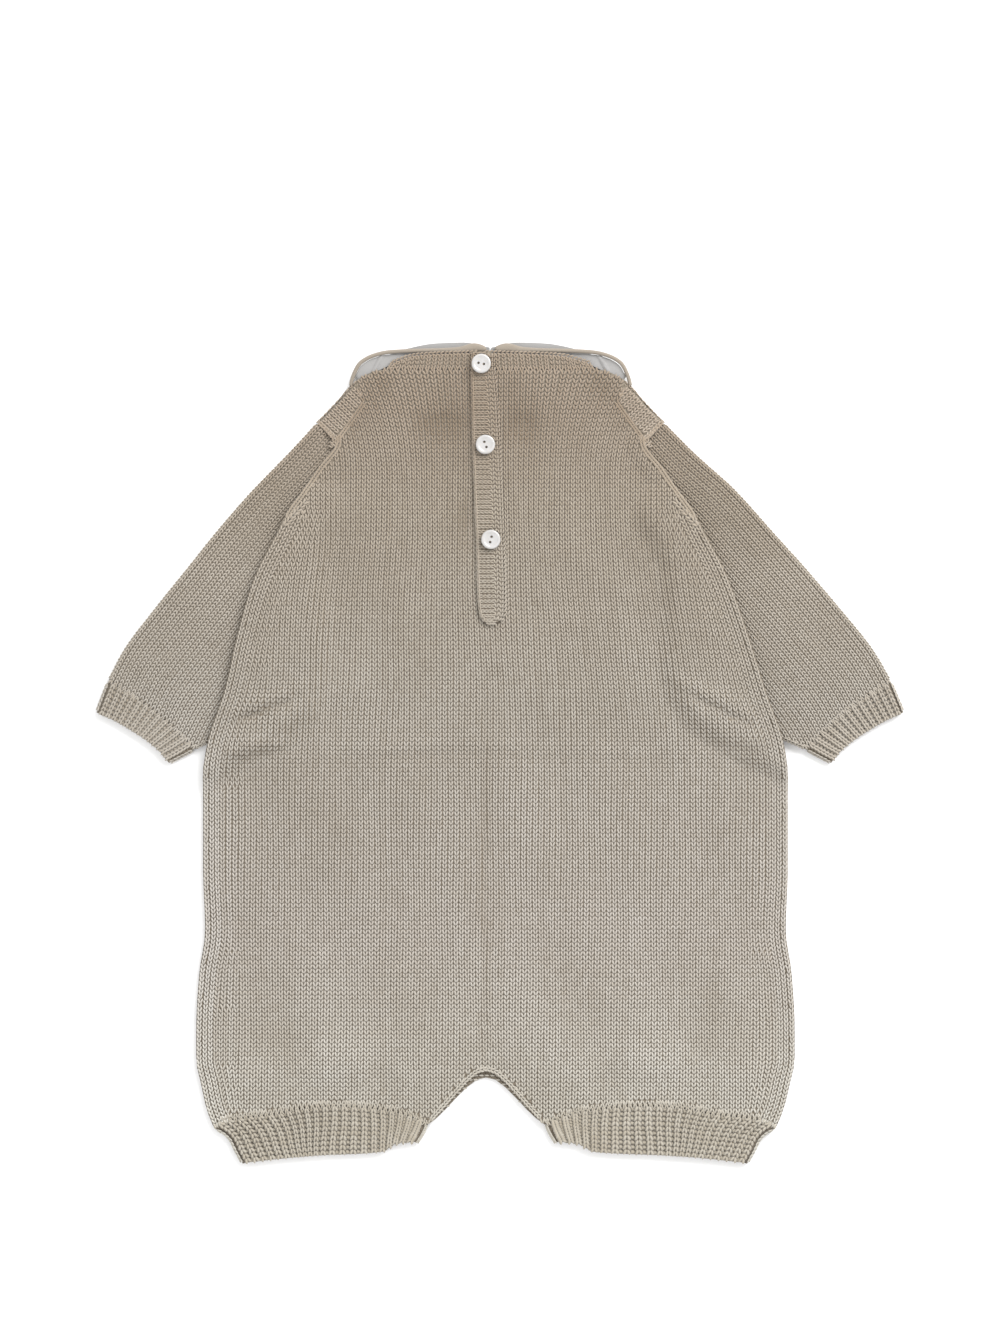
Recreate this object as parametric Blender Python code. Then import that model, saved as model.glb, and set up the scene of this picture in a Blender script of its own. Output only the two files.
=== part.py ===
"""Baby romper in plain knit, lying flat with its back up.

The romper is a front panel and a back panel joined at the sides and shoulders, two sleeves whose
inner folds lie under the body, ribbed edges on the sleeves and legs, a back opening with a
knitted band and three buttons, a knitted neckband and a bound collar turned up past the neck.

Frame: +Z up, +Y from the legs to the neck, origin under the middle of the whole garment, on the
surface that it lies on. Lengths are in millimetres here and become metres in the meshes.
"""

from collections import namedtuple

import bmesh
import bpy
import numpy as np

MM = 0.001

# Cloth thicknesses and the space between layers.
KNIT = 1.8
BAND = 1.6
COLLAR = 1.0
SEAM = 0.3
FOLD = 2.6  # between the middles of two layers that are folded or seamed on each other

# Heights of the middle of each layer where it lies straight on the surface.
LOWER = KNIT / 2
UPPER = LOWER + FOLD
SLEEVE_TOP = UPPER + KNIT / 2
OVER_SLEEVE = SLEEVE_TOP + SEAM  # how far the body is lifted where it lies on a sleeve
OVER_ARMHOLE = SLEEVE_TOP + SEAM + KNIT / 2 - UPPER  # lift of the back's edge over the armhole
LIFT_RAMP = 15.0
LIFT_MARGIN = 9.0
ARMHOLE_RAMP = 9.0
ARMHOLE_MARGIN = 4.0
ARMHOLE_LAP = 7.6  # how far the back reaches over the sleeve past the front's edge
LAP_RAMP = 6.5
SLEEVE_REACH = 190.0  # half width past which no sleeve lies under the body
SLEEVE_AIR = 1.3

# Back opening, buttons and ribs.
BUTTON_D = 10.7
BUTTON_T = 2.2
BUTTON_DISH = 0.6
BUTTON_EDGE = 0.5
BUTTON_HOLE_D = 1.4
BUTTON_HOLE_PITCH = 3.0
BUTTON_RIM = 1.5
BUTTON_SHANK = 0.45  # thread between a button and the band
BUTTON_SIDES = 16
SLIT = 0.9
SLIT_SHARE = 0.4855  # of the way across the panel
SLIT_CLEAR = 0.012
SLIT_END_Y = 84.0
SLEEVE_RIBS = 13
LEG_RIBS = 22
RIB_RELIEF = (-0.3, 0.6, 0.6)  # valley and the two shoulders of one rib
RIB_UNDER = 9  # points across the plain underside of a rib
SLEEVE_RIB_ROWS = (0.035, 0.5, 1.0)
LEG_RIB_ROWS = (0.0, 0.35, 0.7, 1.0)
SLEEVE_ROWS = (0, 0.05, 0.12, 0.2, 0.3, 0.4, 0.5, 0.6, 0.7, 0.79, 0.86, 0.91, 0.955, 1)
SLEEVE_OVER = 11
SLEEVE_UNDER = 8

# Side edge of the body: a row for each height, with the middle and the half width there.
SIDE = dict(
    y=(-205.4, -195.5, -182.3, -169, -152.6, -122.4, -97.6, -64.6, -15.1, 4.1, 34.4, 61.9, 96.5,
       120.7, 132.8, 142.7, 156.5, 171.3, 182.3),
    middle=(-2.8, -2.7, -2.5, -2.5, -2.5, -2.5, -2.5, -2.5, -2.5, -2.5, -2.8, -3.9, -5,
            -5.1, -5.2, -5.2, -5.2, -5.2, -5.2),
    half=(155.1, 159, 162, 164.7, 164.7, 163.1, 159.8, 160.9, 160.9, 158.4, 148.5, 141.1, 129.8,
          117.4, 111.1, 103.9, 94.6, 84.7, 95.2),
)
# Heights of the rows of both panels, and shares of the half width of their columns.
ROWS_Y = (-205.4, -199, -190, -179, -166, -152, -137, -121, -104, -87, -70, -54, -40, -28, -17, -8,
          0, 9, 19, 30, 43, 57, 72, 87, 101, 113, 122.5, 126.5, 130, 138, 147, 156, 164, 171,
          176.5, 182.3)
BACK_COLUMNS = (1, 0.95, 0.9, 0.84, 0.78, 0.72, 0.66, 0.6, 0.53, 0.46, 0.4, 0.32, 0.28, 0.24, 0.17, 0.1,
                0.04)
FRONT_COLUMNS = (1, 0.94, 0.87, 0.8, 0.73, 0.66, 0.56, 0.42, 0.32, 0.24, 0.13, 0.04)
UNDERARM_Y = 132.8
SEAM_END = 16.0  # the side seam opens out from here below the underarm
SEAM_RAMP = 9.0
ARMHOLE_TOP_Y = 171.3
TOP_MIDDLE = -5.2

# Top edge of the back, from a shoulder tip (share 0) to the middle (share 0.5).
BACK_TOP = dict(
    share=(0, 0.08, 0.16, 0.185, 0.24, 0.28, 0.5),
    half=(95.2, 86.5, 74, 70, 60, 50, 0),
    y=(182.3, 190.6, 204.3, 206.8, 210.3, 210.5, 210.4),
)
# The front has the same shoulders and a lower neckline.
FRONT_TOP = dict(
    share=(0, 0.08, 0.16, 0.2, 0.28, 0.38, 0.5),
    half=(95.2, 86.5, 74, 68, 55, 34, 0),
    y=(182.3, 190.6, 203.6, 200.5, 197.5, 196, 195.5),
)
NECK_SHARE = 0.16
TOP_FADE = 6  # how fast the slope of the shoulders dies away down the panel
ARMHOLE_FADE = 4

# Bottom edge from the side (share 0) along a leg rib and up to the crotch (share 0.5).
BOTTOM = dict(
    share=(0, 0.02, 0.06, 0.11, 0.15, 0.22, 0.3, 0.355, 0.38, 0.395, 0.42, 0.445, 0.465, 0.48, 0.5),
    middle=(-2.8, -2.8, -2.9, -3.2, -3.5, -4.5, -6, -7, -7.5, -7.6, -7.7, -7.7, -7.7, -7.7, -7.7),
    half=(155.1, 149.6, 136.8, 119.5, 107.6, 84.6, 57.8, 40.3, 32.1, 28.7, 22.6, 15.4, 9.5, 5, 0),
    y=(-205.4, -202.6, -200.3, -198.3, -195.6, -193.9, -196.1, -200.5, -204.3, -201, -194.4, -186.2,
       -180.1, -176.6, -175.2),
)
LEG_SHARE = 0.38
LEG_SEAM = 0.55  # between the body's bottom edge and the top of a leg rib
LEG_CORNER_DROP = 1.2
LEG_CORNER_SHARE = 0.04

# What tells the two panels apart: the front's crotch lies lower and its armholes are cut deeper.
Panel = namedtuple("Panel", "top columns crotch_drop lap leg_rise")
BACK = Panel(BACK_TOP, BACK_COLUMNS, 0.0, 0.0, 0.25)
FRONT = Panel(FRONT_TOP, FRONT_COLUMNS, 3.4, ARMHOLE_LAP, 0.4)

# Upper edge of a sleeve from the shoulder tip to the rib, and on to the sleeve's end.
SLEEVE_EDGE = dict(
    share=(0, 0.08, 0.26, 0.42, 0.58, 0.74, 0.9, 1),
    middle=(-5.2, -4.7, -3.3, -3, -1.9, -1.4, -0.8, -0.3),
    half=(95.8, 110.3, 133.1, 152.6, 171.3, 189.5, 206.5, 215.4),
    y=(181.6, 166.4, 144.4, 122.4, 100.4, 78.4, 56.4, 40.4),
)
# Underarm fold of a sleeve, which lies under the body for most of its length.
SLEEVE_FOLD = dict(
    share=(0, 0.1, 0.26, 0.42, 0.58, 0.74, 0.86, 0.91, 0.955, 1),
    middle=(-5.2, -4.8, -4.2, -3.5, -3, -2.5, -2, -1.5, -1, 0),
    half=(100.5, 103.5, 108, 112, 112.5, 110.5, 115, 132, 150, 166.7),
    y=(131, 126, 116, 101, 80, 55, 33.5, 19, 9.4, 1.6),
)
# Upper end of a sleeve, from the shoulder tip along the armhole to the underarm.
SLEEVE_ARMHOLE = dict(
    share=(0, 0.14, 0.3, 0.55, 0.8, 1),
    middle=(-5.2,) * 6,
    half=(95.8, 87.6, 84.2, 91.6, 98.8, 100.5),
    y=(181.6, 173.2, 166.4, 156, 143.2, 131),
)
RIB_TOP = dict(
    share=(0, 0.5, 1),
    middle=(-0.3, -0.2, 0),
    half=(215.4, 190.2, 166.7),
    y=(40.4, 23.4, 1.6),
)
RIB_END = dict(
    share=(0, 0.05, 0.2, 0.42, 0.62, 0.8, 0.95, 1),
    middle=(0,) * 8,
    half=(222.2, 220.5, 213.5, 203, 194.5, 187.5, 182, 179.8),
    y=(23.4, 21.4, 18.2, 12.3, 6.8, 1, -4.9, -5.3),
)

# Leg rib: its free end from the side to the inside of the leg, and its two folds.
LEG_END = dict(
    share=(0, 0.3, 0.5, 0.78, 0.87, 0.93, 1),
    middle=(-2.8, -3.3, -4.5, -6.5, -7.2, -7.5, -7.5),
    half=(139.7, 110, 95, 58.5, 50.5, 45, 36.8),
    y=(-225.8, -222.6, -221.5, -219.5, -215.2, -214.2, -213.9),
)
LEG_OUTER_FOLD = dict(
    share=(0, 0.3, 0.55, 0.75, 1),
    middle=(-2.8,) * 5,
    half=(155.1, 149.8, 146, 143.6, 139.7),
    y=(-207.15, -209.9, -213.6, -218.6, -225.8),
)
LEG_INNER_FOLD = dict(
    share=(0, 0.5, 1),
    middle=(-7.5,) * 3,
    half=(32.1, 34.2, 36.8),
    y=(-204.85, -209.6, -213.9),
)

# Soft forms of the back: middle, reach along and across, turn in degrees, and height.
Form = namedtuple("Form", "x y along across turn height")
FORMS = (
    # Cloth that swells over the leg ribs and dips between the swellings.
    Form(-143, -182, 16, 12, 60, 1.2),
    Form(-92, -170, 30, 13, 10, 1.3),
    Form(134, -182, 16, 12, 120, 1.2),
    Form(84, -170, 30, 13, -10, 1.3),
    Form(-122, -140, 30, 10, 70, -0.7),
    Form(116, -140, 30, 10, 110, -0.7),
    Form(-46, -168, 26, 10, 60, 0.9),
    Form(34, -168, 26, 10, 120, 0.9),
    # Folds that run inwards from the sleeves' lower corners.
    Form(-114, 23, 34, 9, 27, 1.2),
    Form(-134, 4, 24, 8, 7, 0.7),
    Form(127, 20, 34, 9, -29, 1.2),
    # Creases between the back and the shoulders.
    Form(-83, 182, 18, 7, 55, -1.0),
    Form(73, 182, 18, 7, 125, -1.0),
    # Hollows beside the opening, and the long swellings beside the middle of the seat.
    Form(-28, 182, 22, 12, 80, -0.8),
    Form(14, 182, 26, 12, 100, -0.8),
    Form(-30, 120, 30, 10, 85, -0.6),
    Form(-24, -70, 90, 9, 90, 0.6),
    Form(12, -70, 90, 9, 90, 0.6),
    # Pulls from the underarms and along the sides.
    Form(-92, 118, 26, 9, 20, -0.6),
    Form(84, 118, 26, 9, 160, -0.6),
    Form(-150, -60, 70, 7, 90, 0.5),
    Form(145, -60, 70, 7, 90, 0.5),
)
# Air between the two panels, and the shares of the panel over which it and the forms fade out.
PILLOW = 1.5
NECK_PILLOW = 0.5
LEG_FADE = 0.07
NECK_FADE = 0.2
FORM_FADE = 0.06

# Opening band: a row for each height down its length.
OPENING = dict(
    y=(220.3, 213, 198, 172, 140, 110, 90, 76, 71.5),
    left=(-15.2, -15.6, -15.4, -14.9, -13.8, -12.6, -12.2, -11, -8.2),
    right=(-4.6, -4.6, -3.2, -1.8, -0.4, 0.8, 1.4, 1.2, -1.4),
)
BUTTONS = dict(x=(-10.3, -8.0, -5.0), y=(213.4, 169.0, 116.9), turn=(-12.0, 112.0, 76.0))

# Neckband on one half: lower and upper edge from its outer end to under the opening band.
NECKLINE_Y = 210.2  # where the height of the back's neckline is read
NECKBAND = dict(
    share=(0, 0.12, 0.3, 0.6, 1),
    low_half=(57.4, 51.0, 43, 28, 6),
    low_y=(210.8, 210.9, 210.9, 210.9, 210.8),
    high_half=(55.4, 49.5, 42.3, 27, 6),
    high_y=(213.0, 215.4, 217.6, 218.7, 219.3),
)
NECKBAND_REACH = 10.6  # how much further the right one runs, because the opening lies to the left

# Collar half from the middle of the back, round the shoulder and back along the front.
COLLAR_PATH = dict(
    half=(2.4, 12, 28, 42, 50.5, 59.5, 67.5, 71.6, 73.2, 71.6, 66, 56, 44, 30, 15, 0.5),
    y=(216.6, 216.6, 216.6, 215.8, 216, 212.4, 208.9, 206.6, 206, 206, 203.2, 199, 197.4, 196.6,
       196.2, 196.1),
    out_half=(2.4, 13, 28, 42.5, 54, 63.2, 70, 72.6, 74.6, 72.6, 66.5, 57, 45, 30, 15, 0.5),
    out_y=(219.9, 219.9, 219.2, 218.6, 217.2, 215, 211, 208.2, 207.6, 208.8, 213, 218.6, 222.6,
           225.3, 225.8, 223),
    z=(1.9, 1.9, 1.9, 1.9, 2.3, 2.7, 2.9, 2.7, 1.7, 0.7, 0.5, 0.5, 0.5, 0.5, 0.5, 0.5),
)
BINDING_PATH = dict(
    half=(2.2, 9, 18, 30, 43, 55.5, 65, 71.9, 74.7, 76.4),
    y=(221.6, 222.8, 221.5, 221.2, 220.9, 220.2, 218.0, 213.8, 208.9, 204.9),
    z=(3.3, 3.4, 3.3, 3.2, 3.3, 3.7, 3.9, 3.9, 3.5, 2.9),
    wide=(1.5, 2.3, 1.5, 1.1, 1.1, 1.1, 1.1, 1.1, 1.1, 1.0),
)
BINDING_HIGH = 0.95
BINDING_SIDES = 8
COLLAR_STEPS = 31
BINDING_STEPS = 28

BEIGE = (0.50, 0.44, 0.36, 1.0)
WHITE = (0.86, 0.86, 0.87, 1.0)
SHELL = (0.90, 0.89, 0.88, 1.0)


def slopes(knots, values):
    """End slopes of a monotone cubic through the values, so that it never overshoots them."""
    step = np.diff(knots)
    rise = np.diff(values) / step
    slope = np.zeros_like(values)
    before, after = rise[:-1], rise[1:]
    same = before * after > 0
    weight = (2 * step[1:] + step[:-1], step[1:] + 2 * step[:-1])
    total = weight[0] + weight[1]
    with np.errstate(divide="ignore", invalid="ignore"):
        mean = total / (weight[0] / before + weight[1] / after)
    slope[1:-1] = np.where(same, mean, 0.0)
    slope[0], slope[-1] = rise[0], rise[-1]
    return slope


def read(table, key, column, at):
    """Reads a column of a table along its key with a monotone cubic."""
    knots = np.asarray(table[key], float)
    values = np.asarray(table[column], float)
    at = np.asarray(at, float)
    slope = slopes(knots, values)
    i = np.clip(np.searchsorted(knots, at, side="right") - 1, 0, len(knots) - 2)
    step = knots[i + 1] - knots[i]
    t = np.clip((at - knots[i]) / step, 0, 1)
    return (
        values[i] * (1 + 2 * t) * (1 - t) ** 2
        + step * slope[i] * t * (1 - t) ** 2
        + values[i + 1] * t**2 * (3 - 2 * t)
        + step * slope[i + 1] * t**2 * (t - 1)
    )


def edge(table, share, side):
    """Points of an edge table on one side of the garment, -1 for left and 1 for right."""
    half = read(table, "share", "half", share)
    middle = read(table, "share", "middle", share) if "middle" in table else TOP_MIDDLE
    return np.stack([middle + side * half, read(table, "share", "y", share)], axis=-1)


def whole_edge(table, share):
    """Points of an edge that is stated for one half and mirrored for the other."""
    share = np.asarray(share, float)
    left = edge(table, np.minimum(share, 0.5), -1)
    right = edge(table, np.minimum(1 - share, 0.5), 1)
    return np.where((share <= 0.5)[..., None], left, right)


def coons(u, v, sides, ends, fades=(1, 1)):
    """Plan points inside four edges: sides run along v at u 0 and 1, ends along u at v 0 and 1.

    fades are the powers by which the bow of each end dies away towards the other end.
    """
    u, v = np.broadcast_arrays(np.asarray(u, float), np.asarray(v, float))
    a, b = u[..., None], v[..., None]

    def bow(end):
        return end(u) - (1 - a) * end(np.zeros_like(u)) - a * end(np.ones_like(u))

    between = (1 - a) * sides[0](v) + a * sides[1](v)
    return between + (1 - b) ** fades[0] * bow(ends[0]) + b ** fades[1] * bow(ends[1])


def body_side(v, side, lap=0.0):
    """Side edge of the body from the leg rib (0) to the shoulder tip (1).

    lap draws the edge in along the armhole, where the back alone lies over the sleeve.
    """
    y = SIDE["y"][0] + (SIDE["y"][-1] - SIDE["y"][0]) * np.asarray(v, float)
    half = read(SIDE, "y", "half", y)
    above_underarm = smooth((y - UNDERARM_Y + 1.4 * LAP_RAMP) / LAP_RAMP)
    below_tip = smooth((ARMHOLE_TOP_Y + LAP_RAMP / 2 - y) / LAP_RAMP)
    half = half - lap * above_underarm * below_tip
    return np.stack([read(SIDE, "y", "middle", y) + side * half, y], axis=-1)


def body_plan(u, v, panel):
    """Plan of a body panel: u across it from left to right, v from the legs to the neck."""

    def bottom(share):
        points = whole_edge(BOTTOM, share)
        away = np.abs(np.asarray(share) - 0.5) / (0.5 - LEG_SHARE)
        points[..., 1] -= panel.crotch_drop * np.clip(1 - away, 0, 1) ** 0.5
        points[..., 1] += panel.leg_rise * (away > 1)
        return points

    sides = (lambda s: body_side(s, -1, panel.lap), lambda s: body_side(s, 1, panel.lap))
    return coons(u, v, sides, (bottom, lambda s: whole_edge(panel.top, s)), (1, TOP_FADE))


def smooth(t):
    """Smooth step from 0 to 1."""
    t = np.clip(t, 0, 1)
    return t * t * (3 - 2 * t)


def distance_to(points, line):
    """Distance of each plan point from a line of points."""
    best = np.full(points.shape[:-1], np.inf)
    for a, b in zip(line[:-1], line[1:]):
        d = b - a
        t = np.clip(((points - a) @ d) / (d @ d), 0, 1)
        best = np.minimum(best, np.linalg.norm(points - a - t[..., None] * d, axis=-1))
    return best


def inside(points, ring):
    """Whether each plan point lies inside a closed ring of points."""
    hit = np.zeros(points.shape[:-1], bool)
    x, y = points[..., 0], points[..., 1]
    for (x0, y0), (x1, y1) in zip(ring, np.roll(ring, -1, axis=0)):
        if y0 == y1:
            continue
        crosses = (y0 > y) != (y1 > y)
        hit ^= crosses & (x < (x1 - x0) * (y - y0) / (y1 - y0) + x0)
    return hit


def sleeve_lift(points):
    """How far the body is lifted at plan points by the sleeve folds that lie under it."""
    lift = np.zeros(points.shape[:-1])
    for side in (-1, 1):
        fold = edge(SLEEVE_FOLD, np.linspace(0, 1, 25), side)
        reach = side * SLEEVE_REACH
        outside = np.array([[reach, fold[-1, 1]], [reach, fold[0, 1]]])
        ring = np.concatenate([fold, outside])
        away = np.where(inside(points, ring), 0.0, distance_to(points, fold))
        lift = np.maximum(lift, OVER_SLEEVE * (1 - smooth((away - LIFT_MARGIN) / LIFT_RAMP)))
    return lift


def armhole_lift(points):
    """How far the back's armhole edge is lifted over the sleeve seam."""
    lift = np.zeros(points.shape[:-1])
    for side in (-1, 1):
        y = np.linspace(UNDERARM_Y, ARMHOLE_TOP_Y - 1.5, 9)
        half = read(SIDE, "y", "half", y)
        line = np.stack([TOP_MIDDLE + side * half, y], axis=-1)
        away = distance_to(points, line)
        lift = np.maximum(lift, OVER_ARMHOLE * (1 - smooth((away - ARMHOLE_MARGIN) / ARMHOLE_RAMP)))
    return lift


def forms(points):
    """Soft folds and swellings of the back."""
    height = np.zeros(points.shape[:-1])
    for form in FORMS:
        c, s = np.cos(np.radians(form.turn)), np.sin(np.radians(form.turn))
        dx, dy = points[..., 0] - form.x, points[..., 1] - form.y
        a, b = (dx * c + dy * s) / form.along, (dy * c - dx * s) / form.across
        height += form.height * np.exp(-(a**2) - b**2)
    return height


def pillow(u, v):
    """Air between the two panels: none at the side seams and leg ribs, a little at the neck."""
    sides = 1 - np.abs(2 * u - 1) ** 6
    low = smooth(v / LEG_FADE)
    high = smooth((1 - v) / NECK_FADE)
    return sides * low * (NECK_PILLOW + (PILLOW - NECK_PILLOW) * high)


def back_height(u, v, points):
    """Height of the middle of the back panel's cloth."""
    lifts = (sleeve_lift(points) ** 4 + armhole_lift(points) ** 4) ** 0.25
    fade = smooth(np.minimum(u, 1 - u) / FORM_FADE) * smooth(np.minimum(v, 1 - v) / FORM_FADE)
    return UPPER + lifts + pillow(u, v) + forms(points) * fade


def back_at(x, y):
    """Height of the back's middle at a plan point, found by walking its grid to that point."""
    u, v, step = 0.5, 0.8, 1e-4
    for _ in range(30):
        here = body_plan(u, v, BACK)
        du = (body_plan(u + step, v, BACK) - here) / step
        dv = (body_plan(u, v + step, BACK) - here) / step
        move = np.linalg.solve(np.stack([du, dv], axis=-1), np.array([x, y]) - here)
        u, v = np.clip(u + move[0], 0, 1), np.clip(v + move[1], 0, 1)
    return float(back_height(np.array(u), np.array(v), np.array([x, y])))


def unit(vectors):
    """Vectors made one long."""
    return vectors / np.linalg.norm(vectors, axis=-1, keepdims=True)


def differences(grid, axis, wrap):
    """Central differences of a grid of points along an axis."""
    if wrap:
        return np.roll(grid, -1, axis) - np.roll(grid, 1, axis)
    return np.gradient(grid, axis=axis)


def wall(mid, thickness, relief=None, wrap=False, upright=None, gaps=()):
    """Closed wall around a grid of middle points: (points, faces).

    relief raises the outer points only, upright holds the share (0 to 1) by which the cloth
    stands straight up at each edge point, and gaps lists cells that are left open.
    """
    rows, columns = mid.shape[:2]
    along, across = differences(mid, 0, False), differences(mid, 1, wrap)
    if upright is not None:
        for axis, tangent in ((0, along), (1, across)):
            for end, near in ((0, 1), (-1, -2)):
                pick = (end, slice(None)) if axis == 0 else (slice(None), end)
                next_to = (near, slice(None)) if axis == 0 else (slice(None), near)
                share = upright[axis][0 if end == 0 else 1][:, None]
                step = (mid[next_to] - mid[pick]) * (1 if end == 0 else -1)
                straight = np.zeros_like(step)
                straight[:, 2] = np.sign(step[:, 2]) * np.linalg.norm(step, axis=1)
                tangent[pick] = (1 - share) * step + share * straight
    normal = unit(np.cross(across, along))
    if wrap:
        centre = mid.mean(axis=1, keepdims=True)
        if ((mid - centre) * normal).sum() < 0:
            normal = -normal
    rise = np.zeros((rows, columns)) if relief is None else relief
    outer = mid + normal * (thickness / 2 + rise)[..., None]
    inner = mid - normal * thickness / 2
    points = np.concatenate([outer.reshape(-1, 3), inner.reshape(-1, 3)])
    below = rows * columns
    faces, rim = [], {}
    for r in range(rows - 1):
        for c in range(columns if wrap else columns - 1):
            if (r, c) in gaps:
                continue
            n = (c + 1) % columns
            ring = (r * columns + c, r * columns + n, (r + 1) * columns + n, (r + 1) * columns + c)
            faces.append(ring)
            faces.append(tuple(i + below for i in reversed(ring)))
            for a, b in zip(ring, ring[1:] + ring[:1]):
                if rim.pop((b, a), None) is None:
                    rim[(a, b)] = True
    faces += [(b, a, a + below, b + below) for a, b in rim]
    return points, faces


def add_object(name, points, faces, material, sharp=50.0):
    """Adds a mesh object from points in millimetres, with its faces turned outwards."""
    mesh = bpy.data.meshes.new(name)
    mesh.from_pydata([tuple(p) for p in np.asarray(points) * MM], [], faces)
    shape = bmesh.new()
    shape.from_mesh(mesh)
    loose = [vert for vert in shape.verts if not vert.link_faces]
    bmesh.ops.delete(shape, geom=loose, context="VERTS")
    bmesh.ops.triangulate(shape, faces=shape.faces)
    if shape.calc_volume(signed=True) < 0:
        bmesh.ops.reverse_faces(shape, faces=shape.faces)
    shape.to_mesh(mesh)
    shape.free()
    mesh.shade_smooth()
    mesh.set_sharp_from_angle(angle=np.radians(sharp))
    mesh.materials.append(material)
    made = bpy.data.objects.new(name, mesh)
    bpy.context.scene.collection.objects.link(made)
    return made


def make_material(name, colour, roughness):
    """A plain Principled material."""
    material = bpy.data.materials.new(name)
    material.use_nodes = True
    shader = material.node_tree.nodes["Principled BSDF"]
    shader.inputs["Base Color"].default_value = colour
    shader.inputs["Roughness"].default_value = roughness
    shader.inputs["Metallic"].default_value = 0.0
    return material


def panel_shares(columns):
    """Shares across a panel, from the halves' column table, with a line just inside each side."""
    half = np.array([1.0, 1 - FOLD / 2 / SIDE["half"][0], *columns[1:]])
    return np.concatenate([(1 - half) / 2, (1 + half[::-1]) / 2])


def panel_rows():
    """Shares up a panel, from the row table, with a line just inside the shoulders."""
    y = np.array([*ROWS_Y[:-1], ROWS_Y[-1] - FOLD / 2, ROWS_Y[-1]])
    return (y - y[0]) / (y[-1] - y[0])


def set_near_lines(plan):
    """Places the lines just inside the sides and the shoulders at half a fold from the edge."""
    plan[:, 1] = plan[:, 0] + unit(plan[:, 2] - plan[:, 0]) * FOLD / 2
    plan[:, -2] = plan[:, -1] + unit(plan[:, -3] - plan[:, -1]) * FOLD / 2
    plan[-2] = plan[-1] + unit(plan[-3] - plan[-1]) * FOLD / 2
    return plan


def draw_in(plan, side_seam, shoulder):
    """Draws seamed edges in by half the cloth, so that its outside keeps the outline."""
    plan = plan.copy()
    for column, sign in ((0, 1), (1, 1), (-1, -1), (-2, -1)):
        plan[:, column, 0] += sign * KNIT / 2 * side_seam
    inward = unit(plan[-4] - plan[-1])
    for row in (-1, -2):
        plan[row] += inward * (KNIT / 2 * shoulder)[:, None]
    return plan


def body_panel(name, panel, material):
    """Front or back panel: its side and shoulder edges are turned to meet at the seam."""
    is_back = panel is BACK
    u = panel_shares(panel.columns)
    if is_back:
        slit_u = SLIT_SHARE + np.array([0, SLIT / (2 * BACK_TOP["half"][0])])
        u = np.sort(np.concatenate([u[np.abs(u - slit_u.mean()) > SLIT_CLEAR], slit_u]))
    u, v = np.meshgrid(u, panel_rows())
    plan = set_near_lines(body_plan(u, v, panel))
    # The shares by which the side and shoulder edges are drawn in to their seams.
    side_seam = 1 - smooth((plan[:, 0, 1] - UNDERARM_Y + SEAM_END) / SEAM_RAMP)
    share = np.minimum(u[0], 1 - u[0])
    shoulder = (share < NECK_SHARE - SLIT_CLEAR).astype(float)
    draw = np.zeros(u.shape)
    draw[:, 0] = draw[:, -1] = side_seam
    draw[-1] = np.maximum(draw[-1], shoulder)
    half_fold = (FOLD - SEAM) / 2
    if is_back:
        height = back_height(u, v, plan)
        height += (UPPER + sleeve_lift(plan) - half_fold - height) * draw
    else:
        height = LOWER + sleeve_lift(plan) + draw * half_fold
    mid = np.concatenate([draw_in(plan, side_seam, shoulder), height[..., None]], axis=-1)
    still = np.zeros(u.shape[1])
    gaps = ()
    if is_back:
        column = int(np.argmin(np.abs(u[0] - slit_u[0])))
        gaps = {(r, column) for r in range(u.shape[0] - 1) if plan[r, column, 1] > SLIT_END_Y}
    upright = ((still, shoulder), (side_seam, side_seam))
    return add_object(name, *wall(mid, KNIT, upright=upright, gaps=gaps), material)


def fold_share(plan, v, end):
    """How far in from a fold (u 0 or 1) a ring's flat part starts, and the way out there."""
    near = np.clip(np.array([v - 0.01, v + 0.01]), 0, 1)
    path = plan(np.full(2, float(end)), near)
    along = unit(path[1] - path[0])
    share = np.linspace(0, 0.4, 161)
    line = plan(np.abs(end - share), np.full(len(share), v))
    out = np.array([along[1], -along[0]])
    out *= np.sign((line[0] - line[8]) @ out)
    depth = (line[0] - line) @ out
    return float(np.interp((KNIT + FOLD) / 2, depth, share)), out


def tube(plan, rows, top_count, low_count, top_height):
    """Middle points of a flat tube, a ring for each row.

    plan(u, v) gives the plan from one fold (u 0) to the other (u 1), and top_height(points, u)
    the height of the upper layer's middle. Each ring runs over the top, round the far fold, back
    underneath and round the near fold.
    """
    radius = FOLD / 2
    turn = np.radians((45.0, 0.0, -45.0))
    rings = []
    for v in rows:
        near_trim, near_out = fold_share(plan, v, 0)
        far_trim, far_out = fold_share(plan, v, 1)
        over = np.linspace(near_trim, 1 - far_trim, top_count)
        under = np.linspace(1 - far_trim, near_trim, low_count)
        top = plan(over, np.full(top_count, v))
        low = plan(under, np.full(low_count, v))
        folds = [
            np.column_stack([
                at + out * radius * np.cos(turn)[:, None],
                LOWER + radius + radius * np.sin(turn),
            ])
            for at, out in ((top[-1], far_out), (top[0], near_out))
        ]
        rings.append(np.concatenate([
            np.column_stack([top, top_height(top, over)]),
            folds[0],
            np.column_stack([low, np.full(low_count, LOWER)]),
            folds[1][::-1],
        ]))
    return np.array(rings)


def flat_top(points, u):
    """Upper layer with no air in it."""
    return np.full(len(points), UPPER)


def airy_top(points, u):
    """Upper layer of a sleeve: lightly swollen where no other cloth lies on it."""
    y = points[:, 1]
    body = read(SIDE, "y", "half", np.clip(y, SIDE["y"][0], SIDE["y"][-1]))
    outside = smooth((np.abs(points[:, 0] + 3) - body - 4) / 16)
    return UPPER + SLEEVE_AIR * outside * (1 - np.abs(2 * u - 1) ** 4)


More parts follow.
